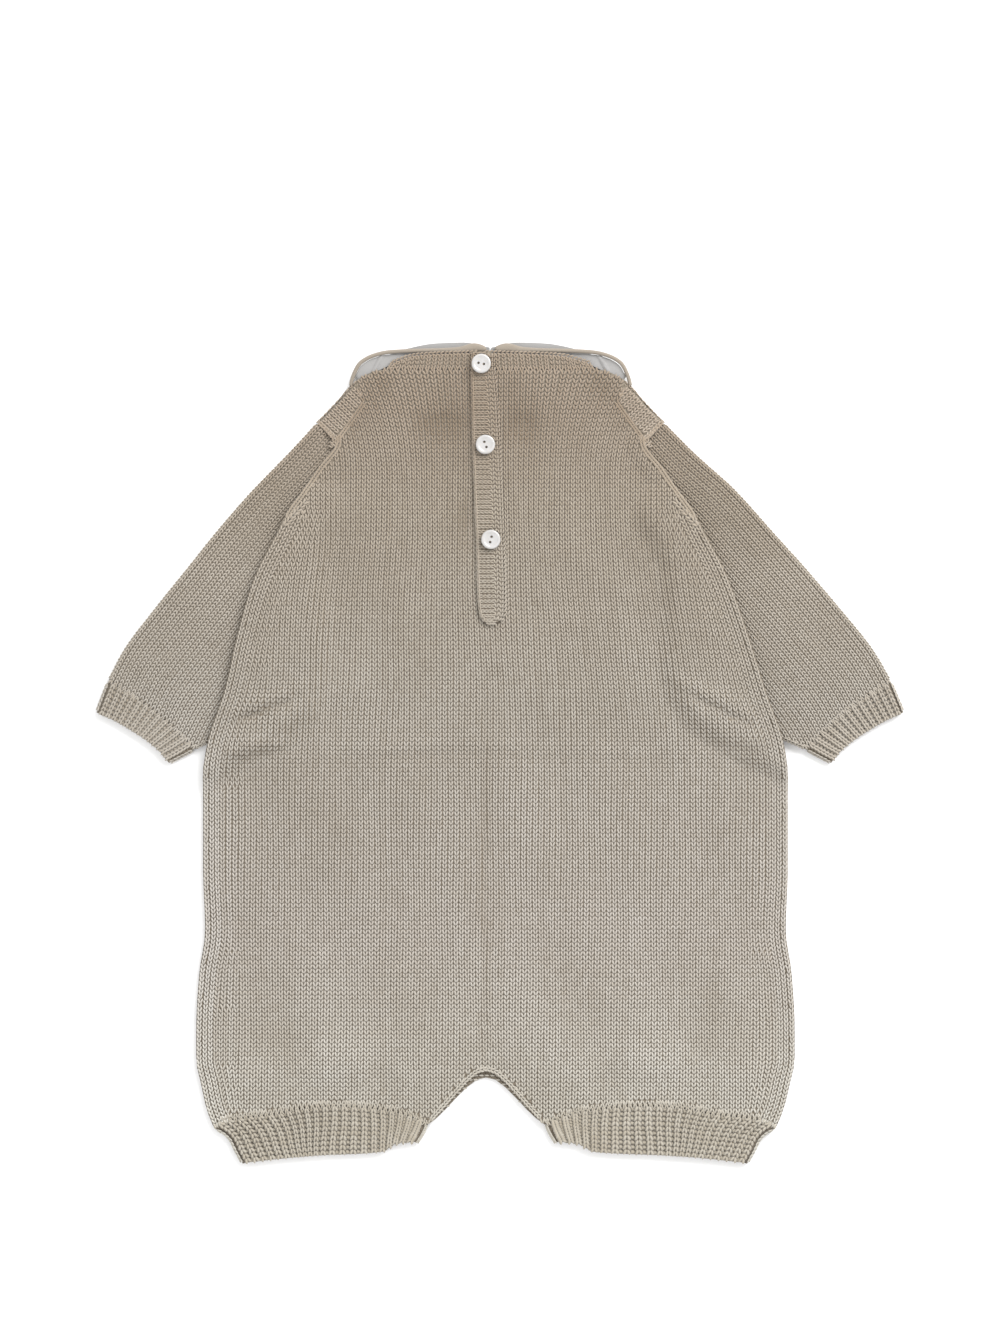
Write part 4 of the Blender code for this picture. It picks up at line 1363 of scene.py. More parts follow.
def chain(
    line: Array, rise: Array, pitch: float, seed: int, lift: float, size: float = 1.0
) -> Stitches:
    """One column of stitches along a line on a face.

    Args:
        line: points along it.
        rise: the way out at each.
        pitch: length of one stitch.
        seed: seed of the unevenness.
        lift: height of the yarn's middle over the line.
        size: mean size of the stitches.

    Returns:
        The stitches.
    """
    spots, out = even_pairs(line, rise, pitch)
    run = unit(np.gradient(spots, axis=0))
    middle = slice(1, -1) if len(spots) > 4 else slice(None)
    return Stitches.on((spots + out * lift)[middle], out[middle], run[middle], seed, size)


def softened(grid: Array) -> Array:
    """A grid's points, each the mean of five along the first axis."""
    padded = np.concatenate([grid[:1]] * 2 + [grid] + [grid[-1:]] * 2)
    return sum(padded[k:k + len(grid)] for k in range(5)) / 5


@dataclass
class Body:
    """Front and back panels, seamed at the sides and shoulders, with their stitches."""

    wardrobe: Wardrobe
    cell: float = 2.7
    wale: float = 3.1
    course: float = 2.4
    shift: float = -1.45
    fan: float = 9.0
    margin: float = 9.9
    ladder_x: float = -8.6
    bands: tuple[float, ...] = (-230.0, -112.0, -18.0, 78.0, 230.0)
    stitch: StitchShape = StitchShape()
    top: Cloth | None = None

    def shares(self, panel: Panel, cell: float) -> tuple[Array, Array]:
        """Lines across and up a panel, with close lines inside its sides and shoulders.

        Args:
            panel: the panel.
            cell: widest distance of two lines.

        Returns:
            The shares across and the shares up.
        """
        half = spaced((0.014, NECK_SHARE, LEG_SHARE, 0.5), cell / 320)[:-1]
        u = np.concatenate([(0, 0.003, 0.006, 0.01), half, [0.5]])
        u = np.concatenate([u, 1 - u[-2::-1]])
        if panel is BACK:
            u = np.sort(np.concatenate([u[np.abs(u - sum(SLIT) / 2) > 0.007], SLIT]))
        y = spaced((SIDE["y"][0], UNDERARM_Y, ARMHOLE_TOP_Y, 178.0), cell)
        v = (y - y[0]) / (SIDE["y"][-1] - y[0])
        return u, np.concatenate([v, (0.992, 0.995, 0.998, 1.0)])

    def cloth(self, panel: Panel, cell: float) -> Cloth:
        """Middle of a panel's cloth, its side and shoulder edges turned to meet at the seams.

        Args:
            panel: the panel.
            cell: widest distance of two points.

        Returns:
            The cloth.
        """
        u, v = np.meshgrid(*self.shares(panel, cell))
        plan = panel.plan(u, v)
        seam = 1 - smooth((plan[:, 0, 1] - UNDERARM_Y + SEAM_END) / SEAM_RAMP)
        share = np.minimum(u[0], 1 - u[0])
        shoulder = (share < NECK_SHARE - 0.004).astype(float)
        weight = np.zeros(u.shape)
        for end, near in ((0, 4), (-1, -5)):
            edge, inward = plan[:, end].copy(), unit(plan[:, near] - plan[:, end])
            for k in range(4):
                column = k if end == 0 else -1 - k
                plan[:, column] = edge + inward * ARC_STEP[k]
                weight[:, column] = seam * ARC_DROP[k]
        edge, inward = plan[-1].copy(), unit(plan[-5] - plan[-1])
        for k in range(4):
            plan[-1 - k] = edge + inward * ARC_STEP[k]
            weight[-1 - k] = np.maximum(weight[-1 - k], shoulder * ARC_DROP[k])
        drop = (FOLD - SEAM) / 2
        if panel is BACK:
            height = back_height(u, v, plan)
            height += (UPPER + sleeve_lift(plan) - drop - height) * weight
        else:
            height = LOWER + sleeve_lift(plan) + weight * drop
        for k in range(4):
            plan[:, k, 0] += KNIT / 2 * seam
            plan[:, -1 - k, 0] -= KNIT / 2 * seam
            plan[-1 - k] += inward * (KNIT / 2 * shoulder)[:, None]
        gaps: set[tuple[int, int]] = set()
        if panel is BACK:
            column = int(np.argmin(np.abs(u[0] - SLIT[0])))
            gaps = {(r, column) for r in range(len(u) - 1) if plan[r, column, 1] > SLIT_END_Y}
        flat = np.zeros(u.shape[1])
        return Cloth(
            np.concatenate([plan, height[..., None]], axis=-1), plan.copy(),
            upright=((flat, shoulder), (seam, seam)), gaps=gaps,
        )

    def lattice(self) -> tuple[Array, Array, Array, Array]:
        """Wales that run up the body, lean out below the neck and close up to the edge columns.

        Returns:
            Plan points of the stitches, the way along the wale, the local width of a wale, and
            each stitch's tone over the mean: a part at random, with painted shade in the creases'
            troughs and painted light on their ridges.
        """
        s = (np.arange(-56, 56) + 0.5) * self.wale + self.shift
        y = np.arange(-228.0, 212.0, self.course)
        chance = np.random.default_rng(3)
        tone = 0.03 * chance.standard_normal((1, len(s))) + np.zeros((len(y), 1))
        sway = chance.uniform(0, 6.3, len(s))
        s, y = np.meshgrid(s, y)
        narrow = read((-230, -10, 60, 133, 215), (1, 1, 0.96, 0.9, 0.9), y)
        up = np.clip((y - 150) / 45, 0, 1.4) ** 2
        fan = np.sign(s) * self.fan * smooth((np.abs(s) - 10) / 60) * up
        x = read(SIDE["y"], SIDE["middle"], y) + s * narrow + fan
        x += 0.3 * np.sin(y / 17 + s / 9) + 0.05 * np.sin(y / 6.1 + sway)
        first = 8.0 + self.wale * 0.95
        t = np.linspace(0, 1, 400)
        for side in (-1, 1):
            edge = BACK.side(t, side)
            at = np.interp(y[:, 0], edge[:, 1], edge[:, 0])
            slope = np.interp(y[:, 0], edge[:, 1], np.gradient(edge[:, 0], edge[:, 1]))
            tilt = 1 / np.sqrt(1 + np.clip(slope, -1.2, 1.2) ** 2)
            away = side * (at[:, None] - x) * tilt[:, None]
            half = self.wale * 0.5 * tilt[:, None]
            nearest = np.where(away >= first - half, away, 1e9).min(axis=1)[:, None]
            pull = (nearest - first) * np.clip(1 - (away - nearest) / 12, 0, 1)
            pull = pull * smooth((136 - y) / 8)
            x = x + side * pull / tilt[:, None]
        grid = np.stack([x, y], axis=-1)
        run = unit(np.gradient(softened(grid), axis=0))
        wide = np.gradient(x, axis=1) / self.wale
        # The creases paint the tone: painted shade in troughs and hollows and painted light on ridges,
        # both stronger towards the neck, with more light allowed on the low seat.
        depth = sum(crease.at(grid) for crease in FORMS)
        depth = np.clip(depth, -2.0, 0.7 + 0.6 * smooth((-120 - y) / 30))
        tone = tone + 0.03 * np.sin(y / 31 + s / 14) + (0.13 + 0.14 * smooth((y - 60) / 60)) * depth
        return grid.reshape(-1, 2), run.reshape(-1, 2), wide.ravel(), tone.ravel()

    def strap(self, side: int) -> list[Array]:
        """Corners of the strap that turns over a shoulder, and its crease."""
        corners = np.array([(74.2, 204.6), (95.4, 182.2), (85.2, 171.0), (70.0, 192.4)])
        return [spots * (side, 1) + (MIDDLE, 0) for spots in (corners, corners[[2, 3]])]

    def clear(self, plan: Array) -> Array:
        """Whether plan points lie on the open part of the back, away from edges and bands.

        Args:
            plan: the points.

        Returns:
            True where a stitch may sit.
        """
        t = np.linspace(0, 1, 160)
        legs = BACK.bottom(t)
        crotch = np.abs(legs[:, 0] - CROTCH_X) < CROTCH_HALF
        keep = inside(plan, BACK.outline())
        for side in (-1, 1):
            edge = BACK.side(t, side)
            beside = distance_to(plan, edge[edge[:, 1] < 132])
            keep &= (beside > self.margin) | ((plan[:, 1] > 132) & (beside > 3.0))
            keep &= distance_to(plan, edge[(edge[:, 1] > 130) & (edge[:, 1] < 171)]) > 3.1
            corners, crease = self.strap(side)
            keep &= ~inside(plan, corners) & (distance_to(plan, crease) > 1.8)
            keep &= distance_to(plan, legs[~crotch & (side * legs[:, 0] > 0)]) > 1.8
        keep &= distance_to(plan, legs[crotch]) > 2.6
        keep &= distance_to(plan, BACK_TOP.whole(t)) > 0.5
        y = np.clip(plan[:, 1], OPENING["y"][0], OPENING["y"][-1])
        left, right = (read(OPENING["y"], OPENING[key], y) for key in ("left", "right"))
        low = plan[:, 1] > OPENING["y"][0] - 0.5
        return keep & ~(low & (plan[:, 0] > left + 1.2) & (plan[:, 0] < right + 0.5))

    def along_edges(self, ground: Ground) -> list[Stitches]:
        """Columns that follow the sides, the rolled armholes, the straps and the crotch.

        Args:
            ground: the back's outer face.

        Returns:
            The columns.
        """
        lift = self.stitch.height / 2 - SINK
        groups = []

        def column(line: Array, depth: float, pitch: float, over: float, size: float) -> None:
            """Adds a column beside a plan line, on its inner side.

            Args:
                line: the line.
                depth: how far inside it the column runs.
                pitch: length of a stitch.
                over: how much higher than the lattice it lies.
                size: mean size of its stitches.
            """
            path = even_line(line, 1.0)
            first, last = unit(path[0] - path[2]) * pitch, unit(path[-1] - path[-3]) * pitch
            path = np.concatenate([[path[0] + first], path, [path[-1] + last]])
            along = unit(np.gradient(path, axis=0))
            inward = np.stack([-along[:, 1], along[:, 0]], axis=-1)
            inward *= np.sign(((MIDDLE, 20.0) - path[len(path) // 2]) @ inward[len(path) // 2])
            spots, out = ground.at(path + inward * depth)
            groups.append(chain(spots, out, pitch, 40 + len(groups), lift + over, size))

        t = np.linspace(0, 1, 240)
        for side in (-1, 1):
            edge = BACK.side(t, side)
            low, high = edge[edge[:, 1] < 131], edge[(edge[:, 1] > 129) & (edge[:, 1] < 173)]
            for k, depth in enumerate((2.0, 5.0, 8.0)):
                column(low, depth, self.course, 0.12 - 0.04 * k, 1.0)
                # Painted light: below the waist the edge columns are painted lighter, the left more,
                # against the shade where the edge turns away from the lamps.
                below = smooth((20 - groups[-1].spots[:, 1]) / 30)
                groups[-1].tone += (0.25 - 0.1 * side) * below
            column(high, 1.6, 1.6, 0.15, 1.12)
            groups[-1].tone -= 0.2
            corners, crease = self.strap(side)
            column(crease, 0.6, 1.5, 0.0, 1.0)
            # Painted shade: the column along the strap's crease is painted darker.
            groups[-1].tone -= 0.25
            step = np.array([(113.5, 126.5), (102.8, 138.5)]) * (side, 1) + (MIDDLE, 0)
            column(step, 1.8, 2.6, 0.45, 1.2)
            under = np.array([(105.6, 131.2), (102.8, 131.8), (104.6, 128.8), (102.0, 129.4)])
            patch, out = ground.at(under * (side, 1) + (MIDDLE, 0))
            groups.append(Stitches.on(patch + out * lift, out, ALONG_Y, 66))
            near = np.array([(1.6, -0.4), (2.2, -2.6), (0.2, -1.8)])
            patch, out = ground.at(corners[2] + near * (side, 1))
            run = np.append(unit(corners[1] - corners[2]), 0.0)
            groups.append(Stitches.on(patch + out * lift, out, run, 65))
            groups.append(self.strap_stitches(corners, side, ground, lift))
            seam = even_line(corners[1:3], 1.0) + unit(corners[0] - corners[1]) * 0.5
            spots, out = ground.at(seam)
            groups.append(chain(spots, out, 1.8, 70, lift, 0.9))
            groups[-1].tone -= 0.12
        legs = BACK.bottom(t)
        for side in (-1, 1):
            leg = legs[(side * (legs[:, 0] - CROTCH_X) > 29) & (side * (legs[:, 0] - MIDDLE) < 148)]
            spots, out = ground.at(even_line(leg, 2.75) + (0, 1.3))
            row = Stitches.on(spots + out * lift, out, ALONG_Y, 78 + side)
            # Painted shade: the row over the leg ribs is painted darker, as its stitches catch more
            # light than the knit round them.
            row.tone -= 0.2
            groups.append(row)
        rim = legs[np.abs(legs[:, 0] - CROTCH_X) < CROTCH_HALF]
        spots, out = ground.at(rim + (0, 1.5))
        groups.append(chain(spots, out, 2.1, 77, lift + 0.1, 1.0))
        return groups

    def strap_stitches(self, corners: Array, side: int, ground: Ground, lift: float) -> Stitches:
        """Stitches of a strap, whose wales stand square to the shoulder's edge.

        Args:
            corners: its corners.
            side: left (-1) or right (1).
            ground: the back's outer face.
            lift: height of the yarn's middle over it.

        Returns:
            The stitches.
        """
        down = unit(corners[1] - corners[0])
        across = np.array([down[1], -down[0]])
        across *= np.sign((corners[3] - corners[0]) @ across)
        a, b = np.meshgrid(np.arange(-1.5, 34, 2.9), np.arange(0.9, 24, 2.2))
        plan = corners[0] + a[..., None] * down + b[..., None] * across
        plan = plan.reshape(-1, 2)
        plan = plan[inside(plan, corners) & (distance_to(plan, corners[[2, 3]]) > 0.6)]
        spots, out = ground.at(plan)
        run = np.append(-across, 0.0)
        spots[:, 2] = np.maximum(spots[:, 2], LOWER + FOLD / 2)
        made = Stitches.on(spots + out * (lift - 0.05), out, run, 60 + side, 0.95)
        made.tone += 0.32
        return made

    def build(self) -> Made:
        """Builds both panels and the stitches of the back.

        Returns:
            The pieces by name.
        """
        house = self.wardrobe
        front, back = self.cloth(FRONT, 6.5), self.cloth(BACK, self.cell)
        self.top = back
        made = front.add("front_cloth", house.ground, GROUND + 0.4)
        made |= back.add("back_cloth", house.ground)
        ground = Ground(back.face(GROUND), back.normals())
        plan, run, wide, tone = self.lattice()
        keep = self.clear(plan)
        plan, run, wide, tone = plan[keep], run[keep], wide[keep], tone[keep]
        spots, rise = ground.at(plan)
        spots += rise * (self.stitch.height / 2 - SINK)
        body = Stitches.on(spots, rise, np.column_stack([run, np.zeros(len(run))]), 7)
        body.size[:, 0] *= np.clip(wide, 0.85, 1.4) * (1 + 0.08 * smooth((-50 - plan[:, 1]) / 60))
        body.tone += tone
        # The ladder's wales stand a little apart and are painted darker, as painted shade in the wider
        # gaps.
        ladder = (plan[:, 1] > -166) & (plan[:, 1] < 5) & (np.abs(plan[:, 0] - self.ladder_x) < 3.2)
        body.spots[ladder, 0] += 0.12 * np.sign(plan[ladder, 0] - self.ladder_x)
        body.tone[ladder] -= 0.09
        every = Stitches.joined([body, *self.along_edges(ground)])
        for k, (low, high) in enumerate(zip(self.bands[:-1], self.bands[1:])):
            part = every.picked((every.spots[:, 1] >= low) & (every.spots[:, 1] < high))
            made |= part.work(f"back_stitches_{k + 1}", self.stitch, house, seed=k)
        return made | self.front_strip()

    def front_strip(self) -> Made:
        """Inside of the front that shows below the crotch of the back: bars of purl.

        Returns:
            The piece by its name.
        """
        x, y = np.meshgrid(np.arange(-32, 17, 3.1), np.arange(-204, -168, 2.4))
        plan = np.stack([x, y], axis=-1).reshape(-1, 2)
        plan = plan[inside(plan, FRONT.outline())]
        spots = np.column_stack([plan, np.full(len(plan), LOWER + KNIT / 2 + GROUND + 0.55)])
        shape = StitchShape(Stitch.PURL, length=3.2, width=1.2, height=0.9)
        return Stitches.on(spots, UP, ALONG_Y, 9).work("front_purl", shape, self.wardrobe)


def tube(
    plan: Plan, rows: Array, top_count: int, low_count: int, top_height: Callable[[Array, Array], Array]
) -> Array:
    """Middle points of a flattened tube, a ring for each row.

    Args:
        plan: plan point at a share across (0 and 1 at the folds) and along.
        rows: shares along at which the rings stand.
        top_count: points over the upper layer.
        low_count: points under the lower layer.
        top_height: height of the upper layer's middle at plan points and shares across.

    Returns:
        The rings: over the top, round the far fold, back underneath and round the near fold.
    """
    radius = FOLD / 2
    turn = np.radians((60.0, 30.0, 0.0, -30.0, -60.0))
    rings = []
    for v in rows:
        shares, outs = [], []
        for end in (0, 1):
            near = np.clip(np.array([v - 0.01, v + 0.01]), 0, 1)
            path = plan(np.full(2, float(end)), near)
            along = unit(path[1] - path[0])
            share = np.linspace(0, 0.4, 161)
            line = plan(np.abs(end - share), np.full(len(share), v))
            out = np.array([along[1], -along[0]])
            out *= np.sign((line[0] - line[8]) @ out)
            depth = (line[0] - line) @ out
            shares.append(float(np.interp((KNIT + FOLD) / 2, depth, share)))
            outs.append(out)
        over = np.linspace(shares[0], 1 - shares[1], top_count)
        under = np.linspace(1 - shares[1], shares[0], low_count)
        top = plan(over, np.full(top_count, v))
        low = plan(under, np.full(low_count, v))
        folds = [
            np.column_stack([at + out * radius * np.cos(turn)[:, None],
                             LOWER + radius + radius * np.sin(turn)])
            for at, out in ((top[-1], outs[1]), (top[0], outs[0]))
        ]
        rings.append(np.concatenate([
            np.column_stack([top, top_height(top, over)]),
            folds[0],
            np.column_stack([low, np.full(low_count, LOWER)]),
            folds[1][::-1],
        ]))
    return np.array(rings)


def around(mid: Array) -> Array:
    """Wale and course coordinates of a tube.

    Args:
        mid: the tube's rings.

    Returns:
        The ways round the ring and along the tube at each point.
    """
    step = np.linalg.norm(np.roll(mid, -1, 1) - mid, axis=-1)
    wale = np.cumsum(step, axis=1) - step
    course = np.cumsum(np.linalg.norm(np.diff(mid, axis=0, prepend=mid[:1]), axis=-1), axis=0)
    return np.stack([wale, course], axis=-1)


@dataclass
class Sleeve:
    """One sleeve and the ribbed edge at its end."""

    wardrobe: Wardrobe
    side: Side
    wale: float = 2.8
    course: float = 2.2
    ribs: int = 13
    air: float = 1.3
    over: int = 26
    under: int = 12
    stitch: StitchShape = StitchShape(length=2.85, width=1.1, spread=0.63)

    def plan(self, u: Array, v: Array) -> Array:
        """Plan of the sleeve.

        Args:
            u: shares from its upper edge to its fold.
            v: shares from armhole to rib.

        Returns:
            The plan points.
        """
        k = self.side.value
        sides = (lambda s: SLEEVE_EDGE.at(s, k), lambda s: SLEEVE_FOLD.at(s, k))
        ends = (lambda s: SLEEVE_ARMHOLE.at(s, k), lambda s: RIB_TOP.at(s, k))
        return coons(u, v, sides, ends, (4, 1))

    def rib_plan(self, u: Array, v: Array) -> Array:
        """Plan of the ribbed edge, from a seam's width below the sleeve.

        Args:
            u: shares from its upper edge to its fold.
            v: shares down to the free end.

        Returns:
            The plan points.
        """
        k = self.side.value
        tops, ends = (lambda s: RIB_TOP.at(s, k)), (lambda s: RIB_END.at(s, k))

        def straight(at: float) -> Callable[[Array], Array]:
            """The straight side at one end of the rib."""
            first, last = tops(np.array(at)), ends(np.array(at))
            return lambda s: first * (1 - np.asarray(s)[..., None]) + last * np.asarray(s)[..., None]

        return coons(u, v, (straight(0.0), straight(1.0)), (tops, ends))

    def top_height(self, points: Array, u: Array) -> Array:
        """Height of the upper layer, swollen and creased where the body doesn't lie on it.

        Args:
            points: plan points.
            u: their shares across.

        Returns:
            The heights of its middle.
        """
        y = np.clip(points[:, 1], SIDE["y"][0], SIDE["y"][-1])
        outside = smooth((np.abs(points[:, 0] + 3) - read(SIDE["y"], SIDE["half"], y) - 4) / 16)
        k = self.side.value
        creases = (
            Crease(k * 150, 92, 40, 5, k * -52, -0.5),
            Crease(k * 176, 60, 26, 4, k * -40, -0.45),
            Crease(k * 138, 118, 24, 4.5, k * -60, 0.4),
            Crease(k * 182, 36, 18, 5, k * -70, 0.4),
        )
        inner = 1 - np.abs(2 * u - 1) ** 4
        end = RIB_TOP.at(np.linspace(0, 1, 9), k)
        inner = inner * (0.15 + 0.85 * smooth(distance_to(points[:, :2], end) / 14))
        return UPPER + (self.air + sum(c.at(points) for c in creases)) * outside * inner

    def wales(self, face: Array, out: Array, count: int) -> list[Stitches]:
        """Columns of stitches along the sleeve, side by side from its upper edge.

        Args:
            face: grid of face points, rings along the first axis.
            out: the way out at each.
            count: number of ring points on the upper layer.

        Returns:
            The columns.
        """
        lift = self.stitch.height / 2 - SINK
        ground = Ground(face[:, :count], out[:, :count])
        k, t = self.side.value, np.linspace(0, 1, 60)
        edge, fold = SLEEVE_EDGE.at(t, k), SLEEVE_FOLD.at(t, k)
        last, first = RIB_TOP.at(t, k), SLEEVE_ARMHOLE.at(t, k)
        ring = np.concatenate([edge, last, fold[::-1], first[::-1]])
        path = even_line(edge, self.course)
        ends = [path[:1] + (path[0] - path[3]) / 3 * np.arange(24, 0, -1)[:, None],
                path[-1:] + (path[-1] - path[-4]) / 3 * np.arange(1, 25)[:, None]]
        path = np.concatenate([ends[0], path, ends[1]])
        along = unit(np.gradient(path, axis=0))
        whole = unit(path[-25] - path[24])
        inward = np.array([-whole[1], whole[0]])
        inward *= np.sign(((MIDDLE, 60.0) - path[50]) @ inward)
        groups = []
        for column in range(60):
            line = path + inward * (2.4 + self.wale * column)
            y = np.clip(line[:, 1], SIDE["y"][0], SIDE["y"][-1])
            half = read(SIDE["y"], SIDE["half"], y)
            keep = inside(line, ring) | (inside(line + along * 1.8, ring) & (line[:, 1] > 150))
            keep &= distance_to(line, fold) > 1.2
            keep &= np.abs(line[:, 0] - read(SIDE["y"], SIDE["middle"], y)) > half - 8
            if keep.any():
                spots, rise = ground.at(line[keep])
                run = np.column_stack([along[keep], np.zeros(keep.sum())])
                group = Stitches.on(spots + rise * lift, rise, run, 100 + column)
                group.tone += 0.04 * math.sin(column * 2.4) + 0.04 * np.sin(line[keep, 1] / 13)
                # Painted light: the sleeves are painted lighter, the left more, as the lamps light them
                # less.
                group.tone += 0.16 if self.side is Side.LEFT else 0.08
                group.tone -= 0.22 * smooth((line[keep, 1] - 95) / 20)
                groups.append(group)
        near = face.shape[1] - 1
        groups.append(chain(face[:, near], out[:, near], self.course, 91, lift))
        shown = np.abs(face[:, count, 0]) > 150
        groups.append(chain(face[shown, count], out[shown, count], self.course, 92, lift))
        return groups

    def build(self) -> Made:
        """Builds the sleeve, its ribbed edge and their stitches.

        Returns:
            The pieces by name.
        """
        house, word = self.wardrobe, self.side.word
        rows = spaced((0, 0.05, 0.12, 0.3, 0.6, 0.86, 0.955, 1), 0.025)
        mid = tube(self.plan, rows, self.over, self.under, self.top_height)
        cloth = Cloth(mid, around(mid), wrap=True)
        made = cloth.add(f"sleeve_cloth_{word}", house.ground)
        every = Stitches.joined(self.wales(cloth.face(GROUND), cloth.normals(), self.over))
        made |= every.work(f"sleeve_stitches_{word}", self.stitch, house)
        # Painted shade: the rib's bars are painted darker in the furrows, more on the left, where the
        # furrows run along the light and cast little shade.
        furrow = -0.34 + 0.09 * self.side.value
        return made | Rib(house, f"sleeve_rib_{word}", self.rib_plan, self.ribs,
                          spaced((0.035, 1), 0.1), 7, -0.15, furrow).build()


@dataclass
class Rib:
    """Ribbed edge: knit columns that stand out and purl troughs between them."""

    wardrobe: Wardrobe
    name: str
    plan: Plan
    ribs: int
    rows: Array
    courses: int
    # tone shifts the tone of the crowns; furrow paints the bars darker, as painted shade in the
    # troughs.
    tone: float = -0.33
    furrow: float = -0.5
    crest: float = 0.6
    trough: float = -0.2
    crown: StitchShape = StitchShape(length=3.35, width=1.3, height=1.05, spread=0.62, lean=12)
    bar: StitchShape = StitchShape(Stitch.PURL, length=1.9, width=2.7, height=0.75)

    def pitch(self, line: Array) -> float:
        """Length of a stitch where the courses share a line evenly."""
        return np.linalg.norm(np.diff(line, axis=0), axis=1).sum() / self.courses

    def build(self) -> Made:
        """Builds the rib's cloth, its columns and its troughs.

        Returns:
            The pieces by name.
        """
        house = self.wardrobe
        count = 6 * self.ribs + 1
        mid = tube(self.plan, self.rows, count, 16, lambda points, u: np.full(len(points), UPPER))
        relief = np.zeros(mid.shape[:2])
        phase = np.sin(np.pi * np.arange(count) / 6) ** 2
        relief[:, :count] = self.trough + (self.crest - self.trough) * phase
        cloth = Cloth(mid, around(mid), relief=relief, wrap=True)
        made = cloth.add(f"{self.name}_cloth", house.ground)
        face = cloth.face(GROUND)
        up = Cloth(mid, cloth.weave, wrap=True).normals()
        columns, bars = [], []
        for k in range(self.ribs + 1):
            for at, group in ((6 * k + 3, columns), (6 * k, bars)):
                if at in (0, 6 * self.ribs) or at >= count:
                    continue
                pitch = self.pitch(face[:, at])
                part = Stitches.column(face[:, at], up[:, at], pitch, 0.3, 300 + at)
                wide = 6 * np.linalg.norm(face[:, at] - face[:, at - 1], axis=-1).mean()
                part.size[:, 0] *= wide / 3.6
                part.tone += self.tone if group is columns else self.furrow
                group.append(part)
        brow = face[0, :count].copy()
        brow[:, 2] = np.maximum(brow[:, 2], brow[:, 2].max() - 0.3)
        spots, out = even_pairs(brow, up[0, :count], 2.9)
        down = unit(face[1, count // 2] - face[0, count // 2])
        run = np.gradient(spots, axis=0)
        run = unit(np.column_stack([run[:, 1], -run[:, 0], 0 * run[:, 2]]))
        run *= np.sign(run @ down)[:, None]
        join = Stitches.on(spots + out * 0.1 - run * 0.3, out, run, 370, 0.95)
        join.tone += self.tone
        columns.append(join)
        for at in (count + 1, -2):
            pitch = self.pitch(face[:, at])
            fold = chain(face[:, at], cloth.normals()[:, at], pitch, 390 + at, 0.25)
            # Painted light: the chains on the folds are painted lighter, against the shade on the flank
            # that faces away from the lamps.
            fold.tone += 0.15
            fold.size[:, 0] *= 1.35
            columns.append(fold)
        made |= Stitches.joined(columns).work(f"{self.name}_columns", self.crown, house)
        return made | Stitches.joined(bars).work(f"{self.name}_bars", self.bar, house)


@dataclass
class Leg:
    """Ribbed edge of one leg opening."""

    wardrobe: Wardrobe
    side: Side
    ribs: int = 22
    seam: float = 0.55

    def plan(self, u: Array, v: Array) -> Array:
        """Plan of the rib.

        Args:
            u: shares from the outer to the inner fold.
            v: shares from the body down.

        Returns:
            The plan points.
        """
        k = self.side.value

        def top(s: Array) -> Array:
            """The rib's upper edge, a seam's width below the body.

            Args:
                s: shares along it.

            Returns:
                The plan points.
            """
            points = BOTTOM.at(np.asarray(s) * LEG_SHARE, k)
            points[..., 1] -= self.seam + 1.2 * np.exp(-np.asarray(s) / 0.04)
            return points

        sides = (lambda s: LEG_OUTER_FOLD.at(s, k), lambda s: LEG_INNER_FOLD.at(s, k))
        return coons(u, v, sides, (top, lambda s: LEG_END.at(s, k)))

    def build(self) -> Made:
        """Builds the rib."""
        name = f"leg_rib_{self.side.word}"
        return Rib(self.wardrobe, name, self.plan, self.ribs, spaced((0, 1), 0.09), 10).build()


